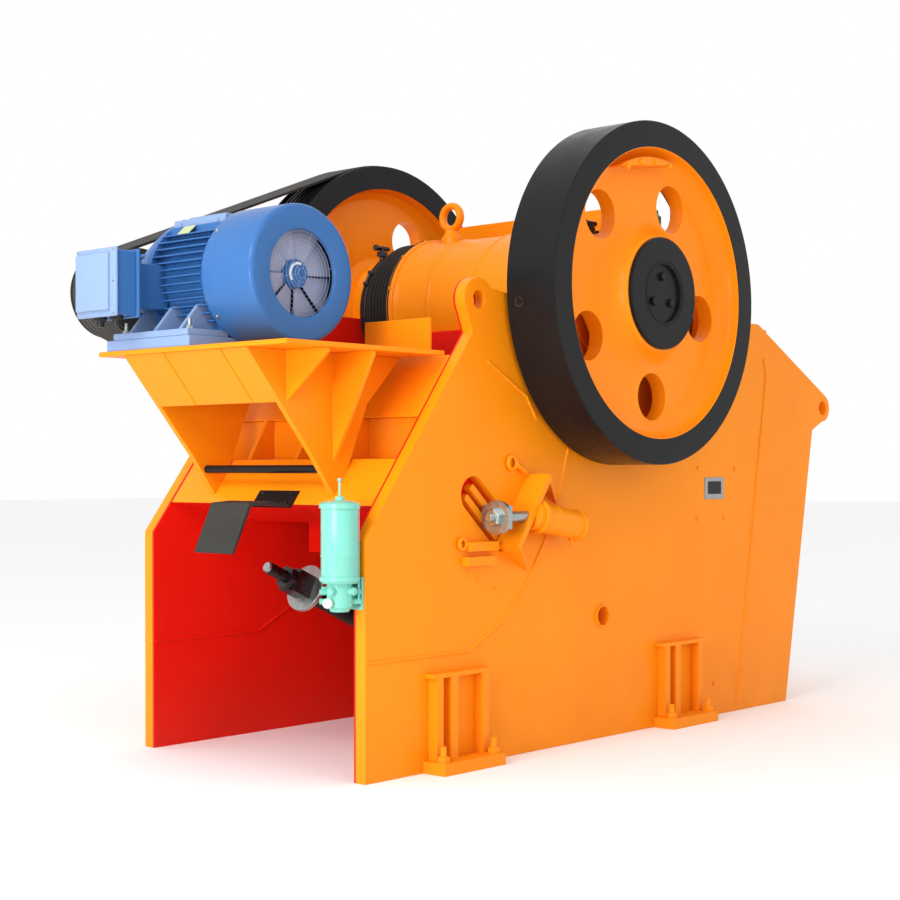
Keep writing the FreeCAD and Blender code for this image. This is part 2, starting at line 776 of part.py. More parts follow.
eye_flange_room = cylinder("eye_flange_room", "Y", ("shaft_x", "shaft_z"),
                           ("barrel_half_length - seat_clearance", "barrel_half_length + 200"),
                           "barrel_radius + flange_rim + seat_clearance")
node("lifting_eye", cut("lifting_eye", fuse("eye_blank", eye_ring, eye_neck), eye_hole, eye_room,
                        eye_flange_room))

# ---- bearings --------------------------------------------------------------------------------
seal = cut("shaft_seal",
           fuse("seal_blank",
                cylinder("seal_body", "Y", ("shaft_x", "shaft_z"),
                         ("-seal_step_y", "-flange_half_length"), "seal_radius"),
                cylinder("seal_step", "Y", ("shaft_x", "shaft_z"),
                         ("-seal_outer_y", "-seal_step_y"), "seal_step_radius")),
           cylinder("seal_bore", "Y", ("shaft_x", "shaft_z"),
                    ("-seal_outer_y - 5", "-flange_half_length + 5"),
                    "shaft_radius + shaft_clearance"))
node("shaft_seals", both("shaft_seals", seal))
housing = cut("bearing_housing",
              cylinder("housing_body", "Y", ("shaft_x", "shaft_z"),
                       ("-housing_outer_y", "-seal_outer_y"), "housing_radius"),
              cylinder("housing_bore", "Y", ("shaft_x", "shaft_z"),
                       ("-housing_outer_y - 5", "-seal_outer_y + 5"),
                       "shaft_radius + shaft_clearance"))
node("bearing_housings", both("bearing_housings", housing))

# ---- rear structure ----------------------------------------------------------------------------
node("rear_beam", prism("rear_beam", "XZ", [
    (slope_x("beam_base_z"), "beam_base_z"),
    (slope_x("beam_top_z"), "beam_top_z"),
    ("beam_front_x", "beam_top_z"),
    ("beam_front_x", "beam_front_base_z"),
], across))
node("rear_upper_plate", prism("rear_upper_plate", "XZ", [
    (slope_x("upper_plate_base_z"), "upper_plate_base_z"),
    (slope_x("upper_plate_top_z"), "upper_plate_top_z"),
    (f"{slope_x('upper_plate_top_z')} + upper_plate_depth", "upper_plate_top_z"),
    (f"{slope_x('upper_plate_base_z')} + upper_plate_depth", "upper_plate_base_z"),
], across))
recess = prism("recess_sheet", "XZ", [
    (f"{slope_x('beam_top_z')} + recess_depth", "beam_top_z"),
    (f"{slope_x('beam_top_z')} + recess_depth + recess_thickness", "beam_top_z"),
    (f"{slope_x('upper_plate_base_z')} + upper_plate_depth + recess_thickness", "upper_plate_base_z"),
    (f"{slope_x('upper_plate_base_z')} + upper_plate_depth - recess_thickness", "upper_plate_base_z"),
], across)
recess_ribs = []
for k, rib_y in enumerate(("-0.8 * gusset_y", "0", "0.8 * gusset_y")):
    recess_ribs.append(prism(f"recess_rib_{k}", "XZ", [
        (f"{slope_x('beam_top_z')} + 30", "beam_top_z"),
        (f"{slope_x('beam_top_z')} + recess_depth", "beam_top_z"),
        (f"{slope_x('upper_plate_base_z')} + upper_plate_depth - recess_thickness", "upper_plate_base_z"),
        (f"{slope_x('upper_plate_base_z')}", "upper_plate_base_z"),
    ], (f"{rib_y} - recess_rib_thickness / 2", f"{rib_y} + recess_rib_thickness / 2")))
node("rear_recess", fuse("rear_recess", recess, *recess_ribs))

# ---- toggle ------------------------------------------------------------------------------------
toggle_seat = box("toggle_seat", ("block_rear_x", "block_front_x"),
                  ("-toggle_half_width", "toggle_half_width"),
                  ("block_z - block_height / 2", "block_z + block_height / 2"))
carrier = box("toggle_carrier", ("beam_front_x", "block_rear_x"), across,
              ("block_z + carrier_drop", "block_z + block_height / 2"))
toggle = prism("toggle_plate", "XZ", [
    ("block_front_x", "toggle_rear_z - toggle_thickness / 2"),
    ("pitman_toe_x", "toggle_front_z - toggle_thickness / 2"),
    ("pitman_toe_x", "toggle_front_z + toggle_thickness / 2"),
    ("block_front_x", "toggle_rear_z + toggle_thickness / 2"),
], ("-toggle_half_width", "toggle_half_width"))
node("toggle_plate", toggle)

TENSION = ("tension_x", "tension_y", "tension_z")
tension_end = sloping_bar("tension_bar", TENSION, "tension_angle", (0, "tension_length"),
                          "tension_radius")
rod_block = doc.addObject("Part::Box", "rod_block")
bind(rod_block, "Length", "rod_block_length")
bind(rod_block, "Width", "rod_block_width")
bind(rod_block, "Height", "rod_block_width")
turn(rod_block, Y, "tension_angle")
block_start = "(spring_start - washer_thickness - rod_block_length)"
place(rod_block,
      f"tension_x + {block_start} * cos(tension_angle) - rod_block_width / 2 * sin(tension_angle)",
      "tension_y - rod_block_width / 2",
      f"tension_z - {block_start} * sin(tension_angle) - rod_block_width / 2 * cos(tension_angle)")
rod_whole = fuse("rod_whole", tension_end, rod_block)
washer = sloping_bar("washer_blank", TENSION, "tension_angle",
                     ("spring_start - washer_thickness", "spring_start"), "washer_radius")
washer_bore = sloping_bar("washer_bore", TENSION, "tension_angle",
                          ("spring_start - washer_thickness - 5", "spring_start + 5"),
                          "tension_radius + seat_clearance")
node("spring_washer", cut("spring_washer", washer, washer_bore))
sleeve = sloping_bar("sleeve_blank", TENSION, "tension_angle",
                     ("spring_start", "spring_start + spring_length"), "spring_radius")
sleeve_bore = sloping_bar("sleeve_bore", TENSION, "tension_angle",
                          ("spring_start - 5", "spring_start + spring_length + 5"),
                          "tension_radius + seat_clearance")
node("tension_sleeve", cut("tension_sleeve", sleeve, sleeve_bore))
hanger = box("tension_hanger", ("tension_bracket_x", "tension_bracket_x + 50"),
             ("tension_y - tension_bracket_half_width", "tension_y + tension_bracket_half_width"),
             ("tension_bracket_base", "block_z - block_height / 2"))
hanger_hole = sloping_bar("hanger_hole", TENSION, "tension_angle",
                          ("spring_start + spring_length - 60", "spring_start + spring_length + 160"),
                          "tension_radius + 8")
sleeve_room = sloping_bar("sleeve_room", TENSION, "tension_angle",
                          ("spring_start", "spring_start + spring_length"), "spring_radius")
hanger_cut = cut("hanger_cut", hanger, hanger_hole, sleeve_room)
node("toggle_block", fuse("toggle_block", toggle_seat, carrier, hanger_cut))
lugs = []
for label, sign in (("near", "-"), ("far", "")):
    inner = f"tension_y + {sign}tension_lug_gap"
    outer = f"tension_y + {sign}(tension_lug_gap + tension_lug_thickness)"
    low, high = (outer, inner) if label == "near" else (inner, outer)
    lugs.append(prism(f"tension_lug_{label}", "XZ", [
        ("tension_lug_x", "pitman_base_z - 130"),
        ("pitman_toe_x", "pitman_base_z - 60"),
        ("pitman_toe_x + 120", "pitman_base_z"),
        ("pitman_toe_x", "pitman_base_z + 60"),
        ("tension_lug_x", "pitman_base_z"),
    ], (low, high)))
PIN_CENTRE = ("tension_lug_x + 30", "tension_z - (tension_lug_x + 30 - tension_x) * tan(tension_angle)")
lug_pin = cylinder("tension_pin", "Y", PIN_CENTRE,
                   ("tension_y - tension_lug_gap - tension_lug_thickness - 10",
                    "tension_y + tension_lug_gap + tension_lug_thickness + 10"), "tension_pin_radius")
pin_room = cylinder("tension_pin_room", "Y", PIN_CENTRE,
                    ("tension_y - tension_lug_gap", "tension_y + tension_lug_gap"),
                    "tension_pin_radius + seat_clearance")
node("tension_rod", cut("tension_rod", rod_whole, pin_room))
pitman_whole = fuse("pitman_whole", pitman_cast, lug_pin, *lugs)
node("pitman_body", pitman_whole)

# ---- motor platform ----------------------------------------------------------------------------
DECK_BASE = "(deck_top_z - deck_thickness)"
node("motor_deck", box("motor_deck", ("deck_rear_x", "deck_front_x"), ("deck_near_y", "deck_far_y"),
                       (DECK_BASE, "deck_top_z")))
gusset = prism("deck_gusset", "XZ", [
    ("gusset_rear_x", DECK_BASE),
    ("gusset_heel_x", "gusset_heel_z"),
    (slope_x("gusset_tip_z"), "gusset_tip_z"),
    (slope_x("gusset_toe_z"), "gusset_toe_z"),
    ("gusset_knee_x", "gusset_knee_z"),
    ("deck_front_x - 14", DECK_BASE),
], ("-gusset_y - gusset_thickness / 2", "-gusset_y + gusset_thickness / 2"))
gusset_far = mirror("deck_gusset_far", gusset)
REAR_LEAN = f"((gusset_heel_x - gusset_rear_x) / ({DECK_BASE} - gusset_heel_z))"


def gusset_x(z):
    """X of the sloping rear edge of the deck gussets at a height."""
    return f"(gusset_rear_x + ({DECK_BASE} - ({z})) * {REAR_LEAN})"


rear_panel = prism("deck_rear_panel", "XZ", [
    (gusset_x("panel_base_z"), "panel_base_z"),
    (gusset_x(DECK_BASE), DECK_BASE),
    (f"{gusset_x(DECK_BASE)} + 1.5 * panel_thickness", DECK_BASE),
    (f"{gusset_x('panel_base_z')} + 1.5 * panel_thickness", "panel_base_z"),
], ("-gusset_y + gusset_thickness / 2", "gusset_y - gusset_thickness / 2"))
side_ribs = []
for label, rib_x, apex in (("rear", "side_rib_rear_x", "side_rib_rear_z"),
                           ("front", "side_rib_front_x", "side_rib_front_z")):
    thick = (f"{rib_x} - side_rib_thickness / 2", f"{rib_x} + side_rib_thickness / 2")
    face = "(gusset_y + gusset_thickness / 2)"
    side_ribs.append(prism(f"side_rib_{label}_near", "YZ", [
        (f"-{face}", apex), (f"-{face}", DECK_BASE),
        ("deck_near_y + 12", DECK_BASE), ("deck_near_y + 12", f"{DECK_BASE} - 20")], thick))
    side_ribs.append(prism(f"side_rib_{label}_far", "YZ", [
        (face, apex), (face, DECK_BASE),
        ("deck_far_y - 12", DECK_BASE), ("deck_far_y - 12", f"{DECK_BASE} - 20")], thick))
node("deck_supports", fuse("deck_supports", gusset, gusset_far, rear_panel, *side_ribs))
node("deck_guard", box("deck_guard", ("guard_x", "guard_x + guard_thickness"),
                       ("deck_near_y + guard_near_inset", "guard_far_y"),
                       ("deck_top_z", "deck_top_z + guard_height")))
node("cross_rod", cylinder("cross_rod", "Y", ("rod_x", "rod_z"),
                           ("-gusset_y + gusset_thickness / 2", "gusset_y - gusset_thickness / 2"),
                           "rod_radius"))


# ---- flap, pump ------------------------------------------------------------------------------
STRIP_SHIFT = f"* sqrt(1 + 1 / {SLOPE} ^ 2)"
clamp_rear = f"clamp_thickness {STRIP_SHIFT}"
node("flap_clamp", prism("flap_clamp", "XZ", [
    (slope_x("clamp_base_z"), "clamp_base_z"),
    (f"{slope_x('clamp_base_z')} - {clamp_rear}", "clamp_base_z"),
    (f"{slope_x('clamp_top_z')} - {clamp_rear}", "clamp_top_z"),
    (slope_x("clamp_top_z"), "clamp_top_z"),
], ("clamp_near_y", "clamp_far_y")))
node("rubber_flap", prism("rubber_flap", "XZ", [
    (f"{slope_x('clamp_base_z + 4')} - {clamp_rear}", "clamp_base_z + 4"),
    (f"{slope_x('clamp_base_z')} - {clamp_rear} - 130", "flap_bend_z"),
    ("flap_bend_x + 12", "flap_bend_z - 12"),
    ("flap_bend_x + 0.3 * flap_thickness", "flap_bend_z - 34"),
    ("flap_end_x + flap_thickness", "flap_end_z"),
    ("flap_end_x", "flap_end_z + 4"),
    ("flap_bend_x - flap_thickness", "flap_bend_z - 30"),
    ("flap_bend_x", "flap_bend_z + flap_thickness - 8"),
    (f"{slope_x('clamp_base_z')} - {clamp_rear} - 130", "flap_bend_z + flap_thickness"),
    (f"{slope_x('clamp_base_z + 4 + flap_thickness')} - {clamp_rear}", "clamp_base_z + 4 + flap_thickness"),
], ("clamp_near_y", "clamp_far_y")))

pump_tank = fuse("pump_tank",
            cylinder("pump_tank_body", "Z", ("pump_x", f"-{INNER}"), ("pump_tank_z", "pump_top_z"),
                     "pump_radius"),
            cylinder("pump_lid", "Z", ("pump_x", f"-{INNER}"),
                     ("pump_top_z", "pump_top_z + pump_lid_thickness"),
                     "pump_radius + pump_lid_rim"))
pump_base = fuse("pump_base",
                 box("pump_block", ("pump_x - pump_block_half", "pump_x + pump_block_half"),
                     (f"-{INNER} - pump_block_half", f"-{INNER} + pump_block_half"),
                     ("pump_base_z", "pump_tank_z")),
                 box("pump_plate", ("rear_x - pump_plate_thickness", "rear_x"),
                     (f"-{OUTER} + pump_plate_margin", f"-{INNER} + pump_plate_reach"),
                     ("pump_base_z", "pump_tank_z + pump_plate_margin")),
                 box("pump_arm", ("pump_x", "rear_x"),
                     (f"-{INNER} - pump_arm_half", f"-{INNER} + pump_arm_half"),
                     ("pump_base_z + pump_arm_margin", "pump_tank_z - pump_arm_margin")))
node("grease_pump", fuse("grease_pump", pump_tank, pump_base))

# ---- adjusters --------------------------------------------------------------------------------
ADJUST_Y = f"(-{OUTER} - bracket_reach + ram_inset)"


def slanted_box(name, centre, angle, length, height, y):
    """A block centred on (x, z) whose long side falls towards +X by an angle."""
    block = doc.addObject("Part::Box", name)
    bind(block, "Length", length)
    bind(block, "Width", f"({y[1]}) - ({y[0]})")
    bind(block, "Height", height)
    turn(block, Y, angle)
    x, z = centre
    place(block, f"({x}) - ({length}) / 2 * cos({angle}) - ({height}) / 2 * sin({angle})", y[0],
          f"({z}) + ({length}) / 2 * sin({angle}) - ({height}) / 2 * cos({angle})")
    return block


def bracket_web(name, side):
    """A triangular web from one end of the bracket bar back to the side plate."""
    web = prism(name, "XY", [(0, f"-{OUTER}"), ("bracket_web", f"-{OUTER}"),
                             (0, f"-{OUTER} - bracket_reach")],
                ("-bracket_web_thickness / 2", "bracket_web_thickness / 2"))
    turn(web, Y, "bracket_web_angle")
    reach = f"({side} * (bracket_length / 2 - bracket_web_thickness / 2))"
    place(web, f"bracket_x + {reach} * sin(bracket_angle)", 0,
          f"bracket_z + {reach} * cos(bracket_angle)")
    return web


wedge = slanted_box("wedge_bar", ("(slot_rear_x + slot_front_x) / 2", "(slot_rear_z + slot_front_z) / 2"),
                    "wedge_angle", "wedge_length", "wedge_height",
                    (f"-{OUTER} + wedge_inset", f"-{INNER} - slot_floor"))
node("adjuster_wedges", both("adjuster_wedges", wedge))
bracket_bar = slanted_box("bracket_bar", ("bracket_x", "bracket_z"), "bracket_angle",
                          "bracket_thickness", "bracket_length",
                          (f"-{OUTER} - bracket_reach", f"-{OUTER}"))
bracket = fuse("adjuster_bracket", bracket_bar, bracket_web("bracket_web_low", "-1"),
               bracket_web("bracket_web_high", "1"))
RAM = ("ram_x", ADJUST_Y, "ram_z")
ram = sloping_bar("ram_tube", RAM, "ram_angle", (-8, "ram_length"), "ram_radius")
ram_hollow = sloping_bar("ram_hollow", RAM, "ram_angle", ("0.5 * ram_length", "ram_length + 5"),
                         "ram_radius - ram_wall")
bar_room = slanted_box("ram_bar_room", ("bracket_x", "bracket_z"), "bracket_angle",
                       "bracket_thickness", "bracket_length",
                       (f"-{OUTER} - bracket_reach - 30", f"-{OUTER}"))
node("adjuster_cylinders", both("adjuster_cylinders", cut("adjuster_cylinder", ram, ram_hollow, bar_room)))
screw = fuse("screw_blank",
             cylinder("screw_bar", "X", (ADJUST_Y, "screw_z"), ("screw_x", "bracket_x"), "screw_radius"),
             cylinder("screw_disc", "X", (ADJUST_Y, "screw_z"),
                      ("screw_x", "screw_x + screw_disc_thickness"), "screw_disc_radius"))
screw_room = slanted_box("screw_bar_room", ("bracket_x", "bracket_z"), "bracket_angle",
                         "bracket_thickness", "bracket_length",
                         (f"-{OUTER} - bracket_reach", f"-{OUTER}"))
wedge_lug = box("wedge_lug", ("screw_x + screw_disc_thickness", "screw_x + 3 * screw_disc_thickness"),
                (f"{ADJUST_Y} - screw_radius - 12", f"-{OUTER} + wedge_inset"),
                ("screw_z - 55", "screw_z + 55"))
node("adjuster_screws", both("adjuster_screws", cut("adjuster_screw", fuse("screw_whole", screw, wedge_lug),
                                                    screw_room)))
side_bars = [
    box("side_bar_high", ("side_bar_x", "side_bar_x + side_bar_length"),
        (f"-{OUTER} - side_bar_thickness", f"-{OUTER}"), ("side_bar_z", "side_bar_z + side_bar_height")),
    box("side_bar_low", ("side_bar_x - 20", "side_bar_x + side_bar_length - 20"),
        (f"-{OUTER} - side_bar_thickness", f"-{OUTER}"),
        ("side_bar_z - 1.6 * side_bar_height", "side_bar_z - 0.6 * side_bar_height")),
]
near_bracket = group("adjuster_bracket_near", bracket, *side_bars)
node("adjuster_brackets", both("adjuster_brackets", near_bracket))

# ---- motor ------------------------------------------------------------------------------------
MOTOR_FOOT_Z = "(shaft_z - motor_centre_height)"
motor = ("motor_x", "shaft_z")
node("motor_base", box("motor_base", ("motor_x - motor_foot_x", "motor_x + motor_foot_x"),
                       ("motor_base_near_y", "motor_base_far_y"), ("deck_top_z", MOTOR_FOOT_Z)))
core = cylinder("motor_core", "Y", motor, ("motor_rear_y", "motor_front_y"), "motor_core_radius")
shield = cylinder("motor_shield", "Y", motor, ("motor_front_y", "motor_shield_y"), "motor_shield_radius")
fins = []
for k in range(SIZES["motor_fin_count"]):
    step = f"({k} - (motor_fin_count - 1) / 2) * 1.7 * motor_core_radius / motor_fin_count"
    reach = f"sqrt(motor_fin_radius ^ 2 - (abs({step}) + motor_fin_thickness / 2) ^ 2)"
    fins.append(box(f"motor_fin_{k}", (f"motor_x - {reach}", f"motor_x + {reach}"),
                    ("motor_rear_y", "motor_front_y"),
                    (f"shaft_z + {step} - motor_fin_thickness / 2",
                     f"shaft_z + {step} + motor_fin_thickness / 2")))
pads = []
for label, sign in (("rear", "-"), ("front", "")):
    pads.append(prism(f"motor_foot_{label}", "XZ", [
        (f"motor_x + {sign}motor_foot_x", MOTOR_FOOT_Z),
        (f"motor_x + {sign}motor_foot_x", f"{MOTOR_FOOT_Z} + motor_foot_height"),
        (f"motor_x + {sign}(motor_foot_x - motor_foot_width)", f"{MOTOR_FOOT_Z} + 2 * motor_foot_height"),
        (f"motor_x + {sign}(motor_foot_x - motor_foot_width - 90)",
         f"{MOTOR_FOOT_Z} + 2 * motor_foot_height"),
        (f"motor_x + {sign}(motor_foot_x - motor_foot_width)", MOTOR_FOOT_Z),
    ], ("motor_foot_near_y", "motor_foot_far_y")))
top_plate = box("motor_top_plate", ("motor_x - 130", "motor_x + 130"), ("motor_rear_y", "motor_front_y"),
                ("shaft_z + 0.9 * motor_core_radius", "shaft_z + motor_fin_radius"))
motor_bore = cylinder("motor_bore", "Y", motor, ("motor_rear_y - 5", "motor_shield_y + 5"),
                      "motor_shaft_radius + motor_shaft_clearance")
node("motor_frame", cut("motor_frame",
                        fuse("motor_blank", core, shield, top_plate, *fins, *pads), motor_bore))
cover = cut("cover_cup",
            cylinder("cover_shell", "Y", motor, ("cover_face_y", "motor_rear_y"), "cover_radius"),
            cylinder("cover_room", "Y", motor, ("cover_face_y + cover_wall", "motor_rear_y + 5"),
                     "cover_radius - cover_wall"),
            cylinder("cover_mouth", "Y", motor, ("cover_face_y - 5", "cover_face_y + cover_wall + 5"),
                     "grille_radius"))
grille_bars = [cylinder("grille_cap", "Y", motor, ("cover_face_y", "cover_face_y + 6"), "72")]
for k in range(6):
    bar = doc.addObject("Part::Box", f"grille_bar_{k}")
    bind(bar, "Length", "2 * grille_radius")
    bind(bar, "Width", 6)
    bind(bar, "Height", 6)
    turn(bar, Y, 30 * k)
    place(bar,
          f"motor_x - grille_radius * cos({30 * k}) - 3 * sin({30 * k})", "cover_face_y",
          f"shaft_z + grille_radius * sin({30 * k}) - 3 * cos({30 * k})")
    grille_bars.append(bar)
node("fan_cover", fuse("fan_cover", cover, *grille_bars))
fan_parts = [cylinder("fan_hub", "Y", motor, ("cover_face_y + 70", "motor_rear_y - 90"),
                      "fan_hub_radius")]
for k in range(8):
    blade = doc.addObject("Part::Box", f"fan_blade_{k}")
    bind(blade, "Length", "fan_radius")
    bind(blade, "Width", 110)
    bind(blade, "Height", 8)
    turn(blade, Y, 45 * k)
    place(blade, "motor_x", "cover_face_y + 75", "shaft_z")
    fan_parts.append(blade)
fan_bore = cylinder("fan_bore", "Y", motor, ("cover_face_y + 60", "motor_rear_y"), "motor_shaft_radius")
node("motor_fan", cut("motor_fan", fuse("fan_blank", *fan_parts), fan_bore))
terminal = cut("terminal_box",
               box("terminal_blank", ("box_rear_x", "box_front_x"), ("box_near_y", "box_far_y"),
                   ("box_base_z", "box_top_z")),
               cylinder("terminal_room", "Y", motor, ("box_near_y - 5", "box_far_y + 5"),
                        "motor_fin_radius + seat_clearance"))
node("terminal_box", terminal)
node("motor_shaft", cylinder("motor_shaft", "Y", motor,
                             ("cover_face_y + 75", f"{WHEEL_OUTER} - 2 * pulley_flange"),
                             "motor_shaft_radius"))

# ---- belt drive ---------------------------------------------------------------------------------
PULLEY_END = WHEEL_OUTER
pulley = fuse("pulley_blank",
              cylinder("pulley_body", "Y", motor, ("pulley_start_y", PULLEY_END), "pulley_groove_radius"),
              cylinder("pulley_lip_near", "Y", motor,
                       ("pulley_start_y", "pulley_start_y + pulley_flange"), "pulley_flange_radius"),
              cylinder("pulley_lip_far", "Y", motor,
                       (f"{PULLEY_END} - pulley_flange", PULLEY_END), "pulley_flange_radius"))
node("motor_pulley", cut("motor_pulley", pulley,
                         cylinder("pulley_bore", "Y", motor,
                                  ("pulley_start_y - 5", f"{WHEEL_OUTER} - 2 * pulley_flange"),
                                  "motor_shaft_radius")))
belt_span = (f"{GROOVE_START} + belt_edge_gap", f"{GROOVE_END} - belt_edge_gap")


def loop_solid(prefix, grow, span):
    """The area inside a taut belt round the sheave and the pulley, grown outwards."""
    big = f"(sheave_groove_radius + {grow})"
    small = f"(pulley_groove_radius + {grow})"
    rise = "((sheave_groove_radius - pulley_groove_radius) / (shaft_x - motor_x))"
    level = f"sqrt(1 - {rise} ^ 2)"
    middle = prism(prefix + "_middle", "XZ", [
        (f"motor_x - {small} * {rise}", f"shaft_z + {small} * {level}"),
        (f"shaft_x - {big} * {rise}", f"shaft_z + {big} * {level}"),
        (f"shaft_x - {big} * {rise}", f"shaft_z - {big} * {level}"),
        (f"motor_x - {small} * {rise}", f"shaft_z - {small} * {level}"),
    ], span)
    return fuse(prefix,
                cylinder(prefix + "_big", "Y", ("shaft_x", "shaft_z"), span, big),
                cylinder(prefix + "_small", "Y", motor, span, small), middle)


outside = loop_solid("belt_outside", "(belt_clearance + belt_thickness)", belt_span)
inside = loop_solid("belt_inside", "belt_clearance",
                    (f"{belt_span[0]} - 5", f"{belt_span[1]} + 5"))
node("drive_belt", cut("drive_belt", outside, inside))

# ---- blank identification plate ---------------------------------------------------------------------
node("tag_plate", box("tag_plate", ("tag_x - tag_length / 2", "tag_x + tag_length / 2"),
                      (f"-{OUTER} - tag_thickness", f"-{OUTER}"),
                      ("tag_z - tag_height / 2", "tag_z + tag_height / 2")))

# ---- checks and files ---------------------------------------------------------------------------------
doc.recompute()
faulty = [o.Label for o in doc.Objects if "Invalid" in o.State or "Error" in o.State]
faulty += [n.Label for n in nodes if n.Shape.isNull() or not n.Shape.isValid() or not n.Shape.Solids]
if faulty:
    raise RuntimeError("these objects failed: " + ", ".join(faulty))
os.makedirs("parts", exist_ok=True)
for thing in nodes:
    thing.Shape.exportStep(f"parts/{thing.Label}.step")
print(len(nodes), "sub-parts written")
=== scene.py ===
import json
import random
from math import asin, cos, pi, radians, sin, sqrt

import bmesh
import bpy
from mathutils import Matrix, Vector

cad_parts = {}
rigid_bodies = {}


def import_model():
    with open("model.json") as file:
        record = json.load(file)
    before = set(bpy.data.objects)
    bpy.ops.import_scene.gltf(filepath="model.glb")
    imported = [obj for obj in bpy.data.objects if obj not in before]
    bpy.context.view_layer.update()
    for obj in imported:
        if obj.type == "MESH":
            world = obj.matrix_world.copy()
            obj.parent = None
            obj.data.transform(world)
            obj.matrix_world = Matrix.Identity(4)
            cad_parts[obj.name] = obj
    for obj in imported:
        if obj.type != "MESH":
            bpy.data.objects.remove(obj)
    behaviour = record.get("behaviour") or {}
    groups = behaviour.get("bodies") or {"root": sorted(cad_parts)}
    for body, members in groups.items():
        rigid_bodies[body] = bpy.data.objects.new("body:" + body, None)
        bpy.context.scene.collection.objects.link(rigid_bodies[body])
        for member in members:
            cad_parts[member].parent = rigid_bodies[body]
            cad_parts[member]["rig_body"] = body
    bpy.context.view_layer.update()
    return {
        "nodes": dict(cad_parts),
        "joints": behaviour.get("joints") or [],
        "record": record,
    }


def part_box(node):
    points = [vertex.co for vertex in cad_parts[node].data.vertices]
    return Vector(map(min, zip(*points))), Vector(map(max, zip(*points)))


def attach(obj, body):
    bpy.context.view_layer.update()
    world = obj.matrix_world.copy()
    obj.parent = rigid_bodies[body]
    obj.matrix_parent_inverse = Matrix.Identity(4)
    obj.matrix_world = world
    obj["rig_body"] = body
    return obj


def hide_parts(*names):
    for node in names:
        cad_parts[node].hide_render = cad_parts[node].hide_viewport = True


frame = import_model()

SCENE = bpy.context.scene
NODES = frame["nodes"]
RECORD_SLOT = {s["node"]: s["material_slot"] for s in frame["record"]["subparts"]}
TAU = 2 * pi
SIDES = (-1, 1)  # the near side, then the far one
UP = Vector((0, 0, 1))
rng = random.Random(11)

# The lines that things turn about, in metres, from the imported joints. Both run along Y.
JOINTS = {j["name"]: j for j in frame["joints"]}
SHAFT = Vector(JOINTS["wheel_spin"]["pos_m"])
MOTOR = Vector(JOINTS["motor_spin"]["pos_m"])
PLATE_IN, PLATE_OUT = (corner.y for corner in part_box("side_plate_far"))
WHEEL_BACK, WHEEL_FACE = (corner.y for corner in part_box("sheave"))
WHEEL_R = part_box("flywheel")[1].z - SHAFT.z
RIM_DEPTH = 0.128


# ---- materials ---------------------------------
class Shader:
    """A Principled material with short names for making and joining its nodes."""

    def __init__(self, name):
        self.mat = bpy.data.materials.new(name)
        self.mat.use_nodes = True
        self.tree = self.mat.node_tree
        self.bsdf = self.tree.nodes["Principled BSDF"]
        self.place = self.node("ShaderNodeTexCoord").outputs["Object"]

    def node(self, kind, **inputs):
        made = self.tree.nodes.new(kind)
        for key, value in inputs.items():
            self.feed(made.inputs[key.replace("_", " ")], value)
        return made

    def feed(self, socket, value):
        if isinstance(value, bpy.types.NodeSocket):
            self.tree.links.new(value, socket)
        else:
            socket.default_value = value

    def math(self, operation, a, b=0.0):
        made = self.node("ShaderNodeMath")
        made.operation = operation
        self.feed(made.inputs[0], a)
        self.feed(made.inputs[1], b)
        return made.outputs[0]

    def noise(self, scale, detail=4.0, rough=0.55, stretch=None):
        source = self.place
        if stretch:
            source = self.node("ShaderNodeMapping", Vector=source, Scale=stretch).outputs[0]
        made = self.node("ShaderNodeTexNoise", Vector=source, Scale=scale, Detail=detail,
                         Roughness=rough)
        return made.outputs["Fac"]

    def ramp(self, value, low, high, to_low=0.0, to_high=1.0):
        made = self.node("ShaderNodeMapRange", Value=value, From_Min=low, From_Max=high,
                         To_Min=to_low, To_Max=to_high)
        return made.outputs[0]

    def mix(self, factor, a, b):
        made = self.tree.nodes.new("ShaderNodeMix")
        made.data_type = "RGBA"
        self.feed(made.inputs[0], factor)
        for socket, colour in ((made.inputs[6], a), (made.inputs[7], b)):
            fixed = not isinstance(colour, bpy.types.NodeSocket)
            self.feed(socket, (*colour, 1.0) if fixed else colour)
        return made.outputs[2]

    def axis(self, index):
        return self.node("ShaderNodeSeparateXYZ", Vector=self.place).outputs[index]

    def bump(self, height, strength, distance):
        made = self.node("ShaderNodeBump", Height=height, Strength=strength, Distance=distance)
        self.feed(self.bsdf.inputs["Normal"], made.outputs[0])

    def finish(self, colour, rough, **fixed):
        self.feed(self.bsdf.inputs["Base Color"], colour)
        self.feed(self.bsdf.inputs["Roughness"], rough)
        for key, value in fixed.items():
            self.bsdf.inputs[key.replace("_", " ")].default_value = value
        return self.mat


def painted(shader, base, shade, low_darkening=0.25):
    """Sprayed paint: cloudy tone, faint runs, small chips, and a mottled brown darkening towards
    the bottom.
    """
    # Dark brown, for the chips and for the mottled darkening towards the bottom.
    grime = (0.10, 0.05, 0.02)
    cloud = shader.ramp(shader.noise(0.9, 3.0), 0.35, 0.7)
    tone = shader.mix(shader.math("MULTIPLY", cloud, 0.5), base, shade)
    runs = shader.ramp(shader.noise(5.0, 5.0, stretch=(1.0, 1.0, 0.12)), 0.52, 0.75, 0.0, 0.16)
    tone = shader.mix(runs, tone, shade)
    chips = shader.ramp(shader.noise(55.0, 6.0, 0.6), 0.715, 0.74, 0.0, 0.75)
    patches = shader.ramp(shader.noise(2.3, 2.0), 0.56, 0.66)
    tone = shader.mix(shader.math("MULTIPLY", chips, patches), tone, grime)
    # Mottled brown darkening towards the bottom, fading out half a metre above the floor.
    low = shader.ramp(shader.axis(2), 0.0, 0.5, low_darkening, 0.0)
    darker_low_down = shader.math("MULTIPLY", low, shader.noise(6.0, 5.0))
    return shader.mix(darker_low_down, tone, grime)


